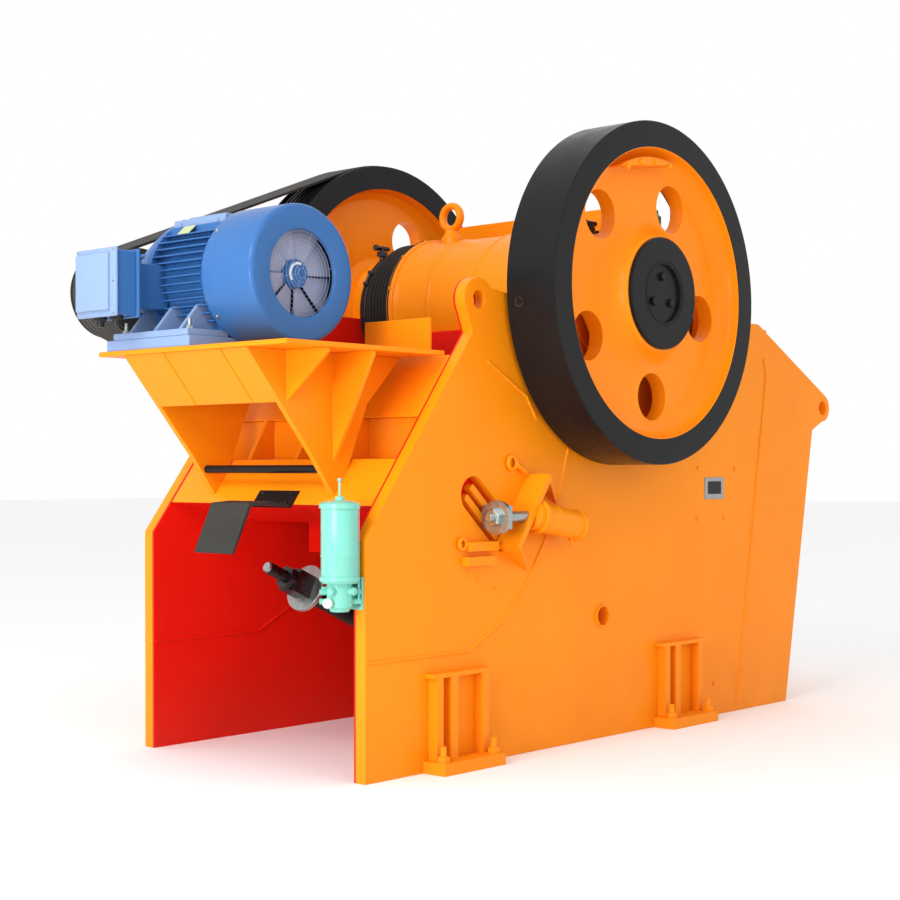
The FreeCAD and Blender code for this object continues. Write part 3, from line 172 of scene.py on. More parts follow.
def lacquer(shader, colour, rough, coat):
    """The gloss and the fine skin that all the paints share."""
    shine = shader.ramp(shader.noise(7.0, 5.0), 0.3, 0.7, rough - 0.07, rough + 0.1)
    shader.bump(shader.noise(140.0, 2.0), 0.10, 0.002)
    return shader.finish(colour, shine, Coat_Weight=coat, Coat_Roughness=0.2, IOR=1.5,
                         Specular_IOR_Level=0.12)


def paint(name, base, shade, rough=0.36, coat=0.05, low_darkening=0.0):
    """One paint all over; its last argument sets how much it darkens towards the bottom."""
    shader = Shader(name)
    return lacquer(shader, painted(shader, base, shade, low_darkening=low_darkening), rough, coat)


def two_paints(name, inside, outside, mask, rough=0.36):
    """Inside paint where the mask is 0 and outside paint where it is 1; each is (base, shade)."""
    shader = Shader(name)
    colours = painted(shader, *inside), painted(shader, *outside)
    return lacquer(shader, shader.mix(mask(shader), *colours), rough, 0.05)


def between_plates(shader):
    """1 outside the frame, 0 on faces between the side plates."""
    past = shader.math("ABSOLUTE", shader.axis(1))
    return shader.math("GREATER_THAN", past, PLATE_IN + 0.012)


def not_underneath(shader):
    """0 on faces that look down, 1 on all others."""
    facing = shader.node("ShaderNodeTexCoord").outputs["Normal"]
    upward = shader.node("ShaderNodeSeparateXYZ", Vector=facing).outputs[2]
    return shader.math("GREATER_THAN", upward, -0.3)


def wheel_rim(shader):
    """1 on the rim's outer band, 0 on the web, the hub and inside the rim."""
    x = shader.math("SUBTRACT", shader.axis(0), SHAFT.x)
    z = shader.math("SUBTRACT", shader.axis(2), SHAFT.z)
    square = shader.math("ADD", shader.math("MULTIPLY", x, x), shader.math("MULTIPLY", z, z))
    return shader.math("GREATER_THAN", shader.math("SQRT", square), WHEEL_R - RIM_DEPTH - 0.001)


def metal(name, base, shade, rough, grain=(1.0, 1.0, 1.0), rust=0.0):
    """Bare metal with grain along one direction and a little rust or grime."""
    shader = Shader(name)
    streak = shader.ramp(shader.noise(60.0, 5.0, stretch=grain), 0.3, 0.7)
    tone = shader.mix(streak, base, shade)
    spots = shader.ramp(shader.noise(9.0, 6.0, 0.65), 0.5, 0.72, 0.0, rust)
    tone = shader.mix(spots, tone, (0.13, 0.055, 0.02))
    shine = shader.ramp(shader.noise(26.0, 4.0), 0.3, 0.7, rough - 0.08, rough + 0.14)
    shader.bump(shader.noise(190.0, 3.0, stretch=grain), 0.2, 0.0015)
    return shader.finish(tone, shine, Metallic=1.0)


def cast(name, base, shade):
    """Rough cast iron: pitted, cloudy and partly rusty."""
    shader = Shader(name)
    tone = shader.mix(shader.ramp(shader.noise(3.0, 5.0), 0.35, 0.65), base, shade)
    stain = shader.ramp(shader.noise(5.5, 6.0, 0.6), 0.5, 0.68, 0.0, 0.5)
    tone = shader.mix(stain, tone, (0.16, 0.06, 0.022))
    shine = shader.ramp(shader.noise(18.0, 4.0), 0.3, 0.7, 0.5, 0.72)
    shader.bump(shader.noise(70.0, 6.0, 0.65), 0.5, 0.004)
    return shader.finish(tone, shine, Metallic=0.45)


def rubber(name, base, shade, weave=0.0):
    """Matt rubber with dust in its fine texture; weave is the scale of its fabric's ribs."""
    shader = Shader(name)
    dust = shader.ramp(shader.noise(4.0, 6.0, 0.6), 0.42, 0.7)
    tone = shader.mix(dust, base, shade)
    fine = shader.noise(230.0, 3.0)
    if weave:
        ribs = shader.node("ShaderNodeTexWave", Vector=shader.place, Scale=weave, Distortion=0.4)
        fine = shader.math("ADD", fine, ribs.outputs["Fac"])
    shader.bump(fine, 0.35, 0.002)
    return shader.finish(tone, shader.ramp(dust, 0, 1, 0.62, 0.84))


ORANGE = ((0.93, 0.272, 0.004), (0.86, 0.215, 0.004))
RED = ((0.80, 0.012, 0.005), (0.62, 0.008, 0.004))
BLACK = ((0.008, 0.008, 0.009), (0.016, 0.014, 0.013))

MAT = {
    "frame_paint": two_paints("frame_paint", RED, ORANGE, between_plates),
    "orange": paint("orange_paint", *ORANGE, low_darkening=0.2),
    "beam_paint": two_paints("beam_paint", RED, ORANGE, not_underneath),
    "interior_red": paint("interior_red", *RED, low_darkening=0.2),
    "wheel_black": two_paints("wheel_paint", ORANGE, BLACK, wheel_rim, rough=0.3),
    # Also used for the black disc painted as shade behind the fan blades.
    "cap_black": paint("cap_black", *BLACK, rough=0.34),
    "soft_black": paint("soft_black", (0.022, 0.021, 0.02), (0.05, 0.045, 0.04), rough=0.48,
                        coat=0.1, low_darkening=0.2),
    "cast_jaw": cast("cast_jaw", (0.11, 0.06, 0.05), (0.05, 0.035, 0.03)),
    "dark_steel": metal("dark_steel", (0.045, 0.045, 0.05), (0.09, 0.09, 0.1), 0.38, rust=0.1),
    "bright_steel": metal("bright_steel", (0.46, 0.50, 0.49), (0.34, 0.39, 0.38), 0.34),
    "motor_blue": paint("motor_blue", (0.040, 0.142, 0.375), (0.030, 0.104, 0.29), rough=0.3,
                        coat=0.2),
    "motor_grey": paint("motor_grey", (0.235, 0.335, 0.54), (0.18, 0.26, 0.43), rough=0.34),
    "fan_plastic": paint("fan_grey", (0.36, 0.38, 0.52), (0.27, 0.29, 0.42), rough=0.4, coat=0.0),
    "belt_rubber": rubber("belt_rubber", (0.018, 0.018, 0.018), (0.05, 0.047, 0.043)),
    "flap_rubber": rubber("flap_rubber", (0.012, 0.012, 0.010), (0.026, 0.025, 0.020), weave=42.0),
    "pump_green": paint("pump_green", (0.19, 0.57, 0.46), (0.12, 0.44, 0.35), rough=0.24, coat=0.5),
    "tag_grey": metal("tag_grey", (0.42, 0.43, 0.43), (0.33, 0.34, 0.34), 0.42,
                      grain=(8.0, 1.0, 0.3)),
    # White knob paint; the painted highlight arc on the fan hub uses it too.
    "white_knob": paint("white_knob", (0.78, 0.80, 0.78), (0.66, 0.68, 0.66), rough=0.3),
    "pink_pipe": paint("pink_pipe", (0.72, 0.30, 0.32), (0.55, 0.22, 0.24), rough=0.35),
    "label": paint("blank_label", (0.42, 0.50, 0.22), (0.52, 0.55, 0.40), rough=0.4),
}


# ---- making pieces -----------------------------
def linked(name, data):
    """A new object in the scene."""
    made = bpy.data.objects.new(name, data)
    SCENE.collection.objects.link(made)
    return made


def add(name, mesh, body, look, replaces=()):
    """A mesh as a piece that rides on a body, with the CAD parts it replaces hidden."""
    piece = linked(name, mesh)
    mesh.materials.clear()
    mesh.materials.append(MAT[look])
    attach(piece, body)
    if replaces:
        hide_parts(*replaces)
    return piece


def shade(bm, degrees=32):
    """Smooth faces, except across edges sharper than the angle."""
    limit = radians(degrees)
    for face in bm.faces:
        face.smooth = True
    for edge in bm.edges:
        edge.smooth = not (len(edge.link_faces) == 2 and edge.calc_face_angle(0) > limit)


def to_mesh(name, bm, crease=32):
    """A mesh from bmesh geometry, which is used up."""
    bmesh.ops.recalc_face_normals(bm, faces=bm.faces)
    shade(bm, crease)
    mesh = bpy.data.meshes.new(name)
    bm.to_mesh(mesh)
    bm.free()
    return mesh


def build(name, bm, look, body="frame", replaces=(), crease=32):
    """A piece from bmesh geometry; its slot is the look's own."""
    mesh = to_mesh(name, bm, crease)
    return add(name, mesh, body, look, replaces)


def bevel(piece, width, segments=2):
    """Rounds the piece's sharp edges, as a real machined or cast edge is."""
    step = piece.modifiers.new("edge_round", "BEVEL")
    step.width = width
    step.segments = segments
    step.limit_method = "ANGLE"
    step.angle_limit = radians(34)
    step.harden_normals = True
    step.use_clamp_overlap = True


def soften(node, width, look=None):
    """A CAD node's own shape with rounded edges, in place of the hard-edged solid."""
    source = NODES[node]
    bm = bmesh.new()
    bm.from_mesh(source.data)
    bmesh.ops.remove_doubles(bm, verts=bm.verts, dist=2e-5)
    bmesh.ops.dissolve_limit(bm, angle_limit=radians(0.6), verts=bm.verts, edges=bm.edges)
    slot = RECORD_SLOT[node]
    bevel(build(node + "_skin", bm, look or slot, source["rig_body"], (node,)), width)


def skin(bm, rings, caps=True, closed=False):
    """Faces between neighbouring rings of vertices; closed joins the last ring to the first."""
    count = len(rings[0])
    for one, two in zip(rings, rings[1:] + rings[:1] if closed else rings[1:]):
        for i in range(count):
            j = (i + 1) % count
            bm.faces.new((one[i], one[j], two[j], two[i]))
    if caps:
        bm.faces.new(rings[0][::-1])
        bm.faces.new(rings[-1])


def round_turn(count):
    """Evenly spaced angles round one turn."""
    return [TAU * k / count for k in range(count)]


def spoke(angle):
    """The unit direction at an angle about a line along Y."""
    return Vector((cos(angle), 0, sin(angle)))


def about(line, radius, angle, y):
    """A point at a radius and angle from a line along Y."""
    return line + radius * spoke(angle) + Vector((0, y, 0))


def mirrored(profile):
    """An (along, radius) profile on both sides of the middle plane."""
    return [[(side * y, r) for y, r in profile] for side in SIDES]


def ellipse(along, radius, half_width, half_height, count=14):
    """Points of an ellipse in an (along, radius) section."""
    return [(along + half_width * cos(a), radius + half_height * sin(a))
            for a in round_turn(count)]


def lathe(bm, profile, centre, axis="Y", steps=96, start=0.0, sweep=TAU):
    """Revolves a closed loop of (along, radius) points about an axis through centre."""
    full = sweep == TAU
    rings = []
    for k in range(steps if full else steps + 1):
        a = start + sweep * k / steps
        c, s = cos(a), sin(a)
        spots = {"X": [(along, r * c, r * s) for along, r in profile],
                 "Y": [(r * c, along, r * s) for along, r in profile],
                 "Z": [(r * c, r * s, along) for along, r in profile]}[axis]
        rings.append([bm.verts.new(Vector(centre) + Vector(spot)) for spot in spots])
    skin(bm, rings, caps=False, closed=full)
    bmesh.ops.remove_doubles(bm, verts=bm.verts, dist=1e-6)


def turned_piece(name, sections, centre, look, body="frame", replaces=(), axis="Y",
                 steps=96):
    """One piece made of several turned sections about the same axis."""
    bm = bmesh.new()
    for section in sections:
        lathe(bm, section, centre, axis, steps)
    build(name, bm, look, body, replaces)


def block(bm, low, high, matrix=None):
    """A box between two corners, given in any order, to be rounded by a bevel."""
    low, high = ([pick(pair) for pair in zip(low, high)] for pick in (min, max))
    for v in bmesh.ops.create_cube(bm, size=1.0)["verts"]:
        v.co = Vector([a + (t + 0.5) * (b - a) for a, b, t in zip(low, high, v.co)])
        if matrix:
            v.co = matrix @ v.co


def frame_along(direction, up=UP):
    """A rotation whose Z is the direction."""
    d = Vector(direction).normalized()
    side = Vector(up).cross(d)
    if side.length < 1e-4:
        side = Vector((1, 0, 0)).cross(d)
    side.normalize()
    return Matrix((side, d.cross(side), d)).transposed()


def bar(bm, start, end, radius, sides=20, end_radius=None):
    """A round bar between two points, tapered when it has an end radius."""
    start, end = Vector(start), Vector(end)
    turn = frame_along(end - start)
    made = bmesh.ops.create_cone(bm, cap_ends=True, segments=sides, radius1=radius,
                                 radius2=end_radius or radius, depth=(end - start).length)
    for v in made["verts"]:
        v.co = turn @ v.co + (start + end) / 2


def ring(bm, centre, direction, inner, outer, width, steps=40):
    """A flat ring about an axis."""
    turn = frame_along(direction)
    corners = ((inner, 0), (outer, 0), (outer, width), (inner, width))
    skin(bm, [[bm.verts.new(Vector(centre) + turn @ Vector((r * cos(a), r * sin(a), h)))
               for r, h in corners] for a in round_turn(steps)], caps=False, closed=True)


def hexagon(bm, base, direction, across, height, spin=0.0):
    """A hexagonal head or nut with a chamfered top."""
    turn = frame_along(direction) @ Matrix.Rotation(spin, 3, "Z")
    r = across / sqrt(3)
    levels = (0, r), (height * 0.82, r), (height, r * 0.86)
    skin(bm, [[bm.verts.new(Vector(base) + turn @ Vector((r * cos(a), r * sin(a), up)))
               for a in round_turn(6)] for up, r in levels])


def bolt(bm, base, direction, size, stud=0.0, washer=True):
    """A hexagon bolt head on a washer; with stud, a nut with the bolt's end standing out."""
    base, d = Vector(base), Vector(direction).normalized()
    lift = size * 0.14 if washer else 0.0
    if washer:
        bar(bm, base - d * 0.001, base + d * lift, size * 1.05, 24)
    hexagon(bm, base + d * lift, d, size * 1.6, size * 0.7, rng.uniform(0, 1))
    if stud:
        top = base + d * (lift + size * 0.7)
        bar(bm, top - d * 0.002, top + d * stud, size * 0.5, 16, size * 0.42)


def bolts(name, places, size, look="orange", body="frame", stud=0.0, washer=True):
    """Many bolts joined as one piece; places are (point, direction)."""
    bm = bmesh.new()
    for place, direction in places:
        bolt(bm, place, direction, size, stud, washer)
    build(name, bm, look, body)


def bead(name, path, radius, look="orange", ripple=0.0):
    """A tube along straight runs; with ripple, the uneven bead of a painted weld."""
    bm = bmesh.new()
    points = []
    for a, b in zip(path, path[1:]):
        a, b = Vector(a), Vector(b)
        count = max(1, int((b - a).length / (radius * 1.1))) if ripple else 1
        points += [a.lerp(b, k / count) for k in range(count)]
    points.append(Vector(path[-1]))
    last = len(points) - 1
    rings = []
    for i, p in enumerate(points):
        turn = frame_along(points[min(i + 1, last)] - points[max(i - 1, 0)], up=(0.1, 1, 0.2))
        r = radius * (1 + ripple * rng.uniform(-1, 1)) * (0.5 if i in (0, last) else 1)
        rings.append([bm.verts.new(p + turn @ Vector((r * cos(a), r * sin(a), 0)))
                      for a in round_turn(8)])
    skin(bm, rings)
    build(name, bm, look, crease=70)


def cut_holes(piece, cutters):
    """Takes the cutters' volume away and applies the result to the mesh."""
    tool = linked("cutter", cutters)
    step = piece.modifiers.new("holes", "BOOLEAN")
    step.object = tool
    step.solver = "EXACT"
    bpy.context.view_layer.update()
    depsgraph = bpy.context.evaluated_depsgraph_get()
    piece.data = bpy.data.meshes.new_from_object(piece.evaluated_get(depsgraph))
    piece.modifiers.clear()
    bpy.data.objects.remove(tool)
    bm = bmesh.new()
    bm.from_mesh(piece.data)
    bmesh.ops.dissolve_limit(bm, angle_limit=radians(0.3), verts=bm.verts, edges=bm.edges)
    shade(bm)
    bm.to_mesh(piece.data)
    bm.free()


# ---- the two big wheels ------------------------
RIM_IN = WHEEL_R - RIM_DEPTH
CAP_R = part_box("hub_caps")[1].x - SHAFT.x
HUB_R = CAP_R + 0.013
SHAFT_R = 0.150
WEB_OUT = WHEEL_FACE - 0.109
WEB_IN = WEB_OUT - 0.080
HOLES = 5
HOLE_R = 0.120
HOLE_PITCH = 0.512
HOLE_START = radians(-9.4)
GROOVES = 8
CURVE = [k / 8 * pi / 2 for k in range(9)]  # a quarter turn, for the dish and the boss


def wheel_section(grooves):
    """Half section of a dished wheel on the +Y side, as (y, radius) points."""
    fillet, boss_rise, edge = 0.095, 0.11, 0.004
    outer = [(WHEEL_BACK, RIM_IN), (WHEEL_BACK, WHEEL_R - edge), (WHEEL_BACK + edge, WHEEL_R)]
    if grooves:
        start, end = WHEEL_BACK + 0.024, WHEEL_FACE - 0.012
        top, bottom = WHEEL_R - 0.012, WHEEL_R - 0.032
        pitch = (end - start) / GROOVES
        outer += [(start, WHEEL_R), (start, top)]
        for k in range(GROOVES):
            left = start + k * pitch
            outer += [(left + 0.18 * pitch, top), (left + 0.36 * pitch, bottom),
                      (left + 0.64 * pitch, bottom), (left + 0.82 * pitch, top)]
        outer += [(end, top), (end, WHEEL_R)]
    face = [(WHEEL_FACE - edge, WHEEL_R), (WHEEL_FACE, WHEEL_R - edge),
            (WHEEL_FACE, RIM_IN + 0.002), (WHEEL_FACE - 0.003, RIM_IN - 0.002)]
    dish = [(WHEEL_FACE - edge - (WHEEL_FACE - edge - WEB_OUT) * sin(a),
             RIM_IN - edge - fillet * (1 - cos(a))) for a in CURVE]
    boss = [(WEB_OUT + (WHEEL_FACE - 0.006 - WEB_OUT) * (1 - cos(a)),
             HUB_R + boss_rise * (1 - sin(a) * (0.7 + 0.3 * a / CURVE[-1]))) for a in CURVE]
    bore = SHAFT_R + 0.001
    hub = [(WHEEL_FACE, HUB_R - 0.006), (WHEEL_FACE, bore), (WHEEL_BACK, bore),
           (WHEEL_BACK, HUB_R - 0.01), (WHEEL_BACK + 0.01, HUB_R), (WEB_IN - 0.03, HUB_R + 0.01),
           (WEB_IN, HUB_R + 0.05)]
    back = [(WEB_IN, RIM_IN - 0.05), (WEB_IN - 0.03, RIM_IN - 0.012)]
    return outer + face + dish + boss + hub + back


def make_wheel(name, side, node, grooves):
    """A wheel with rounded holes in its web; side is -1 for the near one."""
    bm = bmesh.new()
    lathe(bm, [(side * y, r) for y, r in wheel_section(grooves)], SHAFT, steps=144)
    wheel = build(name, bm, "wheel_black", "wheels", replaces=(node,))
    tools = bmesh.new()
    for a in round_turn(HOLES):
        start, end = (about(SHAFT, HOLE_PITCH, HOLE_START + a, side * y)
                      for y in (WEB_IN - 0.1, WEB_OUT + 0.1))
        bar(tools, start, end, HOLE_R, 48)
    cut_holes(wheel, to_mesh("hole_tools", tools))
    bevel(wheel, 0.006)


make_wheel("flywheel_casting", -1, "flywheel", False)
make_wheel("sheave_casting", 1, "sheave", True)


def hub_covers():
    """Black end caps with a turned edge, a raised ring and bolts round the middle."""
    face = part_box("hub_caps")[1].y
    skim, groove, pan = face - 0.002, face - 0.006, face - 0.020
    profile = [(WHEEL_FACE, 0.0), (WHEEL_FACE, CAP_R), (face - 0.007, CAP_R), (skim, CAP_R - 0.006),
               (skim, CAP_R - 0.11), (groove, CAP_R - 0.114), (groove, CAP_R - 0.122),
               (skim, CAP_R - 0.126), (skim, 0.150), (groove, 0.146), (pan, 0.146), (pan, 0.0)]
    turned_piece("hub_covers", mirrored(profile), SHAFT, "cap_black", "wheels",
                 replaces=("hub_caps",))
    places = [(about(SHAFT, 0.085, radians(90 + 120 * k), side * pan), (0, side, 0))
              for side in SIDES for k in range(3)]
    bolts("hub_bolts", places, 0.024, "cap_black", "wheels", washer=False)


hub_covers()
soften("counterweights", 0.006, "orange")
weight_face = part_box("counterweights")[1].y
weight_bolts = [(about(SHAFT, 0.652, radians(81.7 + 10.7 * k), side * weight_face),
                 (0, side, 0)) for side in SIDES for k in range(4)]
bolts("weight_bolts", weight_bolts, 0.017, body="wheels", washer=False)


# ---- belt --------------------------------------
BELT_DEPTH = 0.0155
BELT_SECTION = ((0.12, 0), (0.88, 0), (0.93, 0.3), (0.74, 1), (0.26, 1), (0.07, 0.3))


def belt_loops():
    """V-belts side by side, one to a groove, round the pulley and the sheave."""
    low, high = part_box("drive_belt")
    big, small = high.x - SHAFT.x, MOTOR.x - low.x
    tilt = asin((big - small) / (SHAFT.x - MOTOR.x))
    wrap = pi / 2 + tilt
    path = [(SHAFT, big, wrap - 2 * wrap * k / 72) for k in range(73)]
    path += [(MOTOR, small, -wrap - (TAU - 2 * wrap) * k / 28) for k in range(29)]
    pitch = (high.y - low.y) / GROOVES
    bm = bmesh.new()
    for n in range(GROOVES):
        section = [(low.y + (n + share) * pitch, depth * BELT_DEPTH)
                   for share, depth in BELT_SECTION]
        skin(bm, [[bm.verts.new(about(line, r - sunk, a, y)) for y, sunk in section]
                  for line, r, a in path], caps=False, closed=True)
    build("v_belts", bm, "belt_rubber", replaces=("drive_belt",))


belt_loops()

# ---- CAD plates with rounded edges -------------
for node_width_look in (
    ("side_plate_near", 0.005), ("side_plate_far", 0.005),
    ("rear_feet", 0.004, "orange"), ("front_feet", 0.004, "orange"),
    ("front_wall", 0.006, "orange"), ("front_plate", 0.005, "orange"),
    ("pitman_body", 0.012), ("feed_guard", 0.004, "orange"),
    ("rear_beam", 0.006, "beam_paint"), ("rear_upper_plate", 0.005, "orange"),
    ("rear_recess", 0.004, "orange"), ("toggle_block", 0.006),
    ("toggle_plate", 0.008), ("motor_deck", 0.004, "orange"),
    ("deck_supports", 0.003, "orange"), ("deck_guard", 0.003, "orange"),
    ("cross_rod", 0.003, "cap_black"), ("flap_clamp", 0.002), ("rubber_flap", 0.003),
    ("adjuster_brackets", 0.005, "orange"), ("motor_base", 0.004),
    ("cheek_plates", 0.004), ("bearing_housings", 0.006, "orange"),
    ("spring_washer", 0.003), ("tension_rod", 0.004), ("tension_sleeve", 0.004),
    ("tag_plate", 0.001), ("motor_pulley", 0.002, "soft_black"),
    ("eccentric_shaft", 0.003), ("motor_shaft", 0.002),
    ("fixed_jaw_plate", 0.004), ("moving_jaw_plate", 0.004),
    ("adjuster_cylinders", 0.003, "orange"), ("adjuster_screws", 0.003),
):
    soften(*node_width_look)

# ---- barrel, seals and lifting eye -------------
BARREL_R = 0.375
FLANGE_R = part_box("pitman_barrel")[1].z - SHAFT.z
FLANGE_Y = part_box("pitman_barrel")[1].y
BARREL_Y = FLANGE_Y - 0.060
BORE_R = 0.2
RING_WELD_Y = 0.16
SEAL_R = 0.349


def barrel():
    """The pitman's barrel with end flanges, a machined lip and two ring welds."""
    half = [(0.0, BORE_R), (FLANGE_Y, BORE_R), (FLANGE_Y, FLANGE_R - 0.006),
            (FLANGE_Y - 0.006, FLANGE_R), (BARREL_Y + 0.030, FLANGE_R),
            (BARREL_Y + 0.022, FLANGE_R - 0.004), (BARREL_Y + 0.018, BARREL_R + 0.012),
            (BARREL_Y, BARREL_R + 0.004), (BARREL_Y - 0.012, BARREL_R)]
    half += [(RING_WELD_Y + y, BARREL_R + rise) for y, rise in (
        (0.016, 0), (0.010, 0.004), (0, 0.006), (-0.010, 0.004), (-0.016, 0))]
    turned_piece("pitman_barrel_tube", [half + [(-y, r) for y, r in reversed(half)]], SHAFT,
                 "orange", replaces=("pitman_barrel",), steps=128)
    turns = [TAU * (k + 0.5) / 12 for k in range(12)]
    places = [(about(SHAFT, FLANGE_R, a, side * (FLANGE_Y - 0.018)), spoke(a))
              for side in SIDES for a in turns]
    bolts("flange_screws", places, 0.009, washer=False)


def seals():
    """Ribbed black dust seals with a clamp band at each end of the barrel."""
    seal_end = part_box("shaft_seals")[1].y
    outline = [(FLANGE_Y + 0.0005, SHAFT_R + 0.001), (FLANGE_Y + 0.0005, 0.384),
               (FLANGE_Y + 0.004, 0.389), (FLANGE_Y + 0.020, 0.389), (FLANGE_Y + 0.024, 0.366)]
    for k in range(5):
        y = FLANGE_Y + 0.030 + 0.0245 * k
        outline += [(y, 0.366), (y + 0.004, 0.380), (y + 0.009, 0.387), (y + 0.014, 0.387),
                    (y + 0.019, 0.380), (y + 0.0225, 0.366)]
    outline += [(0.600, 0.362), (0.604, 0.350), (0.640, 0.350), (0.643, 0.344), (0.672, 0.344),
                (0.675, SEAL_R), (seal_end, SEAL_R), (seal_end, SHAFT_R + 0.001)]
    turned_piece("seal_bellows", mirrored(outline), SHAFT, "soft_black", replaces=("shaft_seals",))
    bm = bmesh.new()
    for side in SIDES:
        y = side * 0.658
        lathe(bm, ellipse(y, SEAL_R, 0.010, 0.004, 8), SHAFT)
        for a in (radians(150), radians(215)):
            at, d = about(SHAFT, SEAL_R + 0.013, a, y), spoke(a + pi / 2)
            bar(bm, at - d * 0.035, at + d * 0.035, 0.009, 12)
            hexagon(bm, at + d * 0.030, d, 0.028, 0.014)
            hexagon(bm, at - d * 0.044, d, 0.028, 0.014)
    build("seal_clamps", bm, "dark_steel")


barrel()
seals()
low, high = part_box("lifting_eye")
eye_centre = (low + high) / 2
eye_centre.z = high.z - (high.y - low.y) / 2
eye_mesh = bmesh.new()
lathe(eye_mesh, ellipse(0.0, 0.0635, 0.0245, 0.0195, 16), eye_centre, "X", 48)
lathe(eye_mesh, [(-0.07, 0.0), (-0.07, 0.036), (-0.085, 0.037), (-0.100, 0.044), (-0.112, 0.056),
                 (-0.146, 0.060), (-0.146, 0.0)], eye_centre, "Z", 40)
build("lifting_ring", eye_mesh, "orange", replaces=("lifting_eye",))

# ---- motor -------------------------------------
COVER_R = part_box("fan_cover")[1].z - MOTOR.z
COVER_FACE, COVER_BACK = (corner.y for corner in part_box("fan_cover"))
BODY_END = 0.372
SHIELD_R = 0.296
FIN_R = 0.300
FIN_PITCH = 0.034
FIN_HALF = 0.0032
CORE_R = 0.262
GRILLE_R = 0.195
FAN_INNER, FAN_OUTER = 0.062, 0.236
FAN_FRONT = -0.312
FAN_BLADES = 8
MOTOR_TURN = Matrix.Translation(MOTOR)


def fan_cowl():
    """Smooth sheet cover with a broad rounded front ring and a wire grille over the fan."""
    wall, edge = 0.004, 0.020
    outline = [(COVER_BACK, COVER_R - wall), (COVER_BACK, COVER_R), (COVER_FACE + edge, COVER_R)]
    outline += [(COVER_FACE + edge * (1 - sin(a)), COVER_R - edge * (1 - cos(a)))
                for a in (0.35, 0.7, 1.05, 1.4)]
    outline += [(COVER_FACE, COVER_R - 0.024), (COVER_FACE, GRILLE_R + 0.012),
                (COVER_FACE + 0.002, GRILLE_R + 0.004), (COVER_FACE + 0.012, GRILLE_R),
                (COVER_FACE + 0.016, GRILLE_R + 0.003), (COVER_FACE + 0.006, GRILLE_R + 0.014),
                (COVER_FACE + 0.006, COVER_R - 0.026), (COVER_FACE + 0.022, COVER_R - wall)]
    turned_piece("fan_cowl", [outline], MOTOR, "motor_blue", replaces=("fan_cover",), steps=128)
    bm = bmesh.new()
    for k in range(10):
        wire = ellipse(COVER_FACE + 0.008, 0.022 + 0.0185 * k, 0.0008, 0.0008, 5)
        lathe(bm, wire, MOTOR, steps=64)
    for a in round_turn(6):
        start, end = (about(MOTOR, r, a + 0.2, COVER_FACE + 0.0105)
                      for r in (0.018, GRILLE_R + 0.004))
        bar(bm, start, end, 0.0010, 5)
    build("fan_grille", bm, "motor_grey")
    places = [(about(MOTOR, COVER_R, radians(a), COVER_BACK - 0.022), spoke(radians(a)))
              for a in (38, 142, 218, 322)]
    bolts("cowl_screws", places, 0.009, "bright_steel")


def fan_wheel():
    """Broad pitched blades in front of a black disc painted as the shade behind them, with a blue
    hub cap whose edge carries a painted white highlight.
    """
    bm = bmesh.new()
    steps = 6
    for k in range(FAN_BLADES):
        grid = []
        for i in range(steps + 1):
            radius = FAN_INNER + (FAN_OUTER - FAN_INNER) * i / steps
            row = []
            for j in range(steps + 1):
                a = TAU * k / FAN_BLADES + radians(42.5) * j / steps + 0.25 * (radius - 0.06)
                y = FAN_FRONT + 0.016 * (j / steps) ** 1.3 + 0.012 * i / steps
                row.append(bm.verts.new(about(MOTOR, radius, a, y)))
            grid.append(row)
        back = [[bm.verts.new(v.co + Vector((0, 0.004, 0))) for v in row] for row in grid]
        for i in range(steps):
            for j in range(steps):
                bm.faces.new((grid[i][j], grid[i + 1][j], grid[i + 1][j + 1], grid[i][j + 1]))
                bm.faces.new((back[i][j], back[i][j + 1], back[i + 1][j + 1], back[i + 1][j]))
        rim = [(i, 0) for i in range(steps)] + [(steps, j) for j in range(steps)]
        rim += [(i, steps) for i in range(steps, 0, -1)] + [(0, j) for j in range(steps, 0, -1)]
        for (i, j), (m, n) in zip(rim, rim[1:] + rim[:1]):
            bm.faces.new((grid[i][j], grid[m][n], back[m][n], back[i][j]))
    build("fan_blades", bm, "fan_plastic", "motor_rotor", replaces=("motor_fan",))
    # A black disc behind the blades: painted shade for the dark gaps between them.
    turned_piece("fan_shade_disc", [[(-0.215, 0.05), (-0.215, 0.238), (-0.207, 0.238), (-0.207, 0.05)]],
                 MOTOR, "cap_black", "motor_rotor", steps=64)
    hub = [(-0.20, 0.0), (-0.20, 0.066), (-0.325, 0.066), (-0.335, 0.060), (-0.338, 0.050),
           (-0.336, 0.042), (-0.340, 0.020), (-0.341, 0.0)]
    turned_piece("fan_hub", [hub], MOTOR, "motor_blue", "motor_rotor", steps=64)
    # A white arc on the hub's rounded edge: a painted highlight.
    highlight_arc_mesh = bmesh.new()
    lathe(highlight_arc_mesh, ellipse(-0.339, 0.047, 0.003, 0.006, 8), MOTOR, steps=24, start=1.2, sweep=2.6)
    build("hub_highlight", highlight_arc_mesh, "white_knob", "motor_rotor")


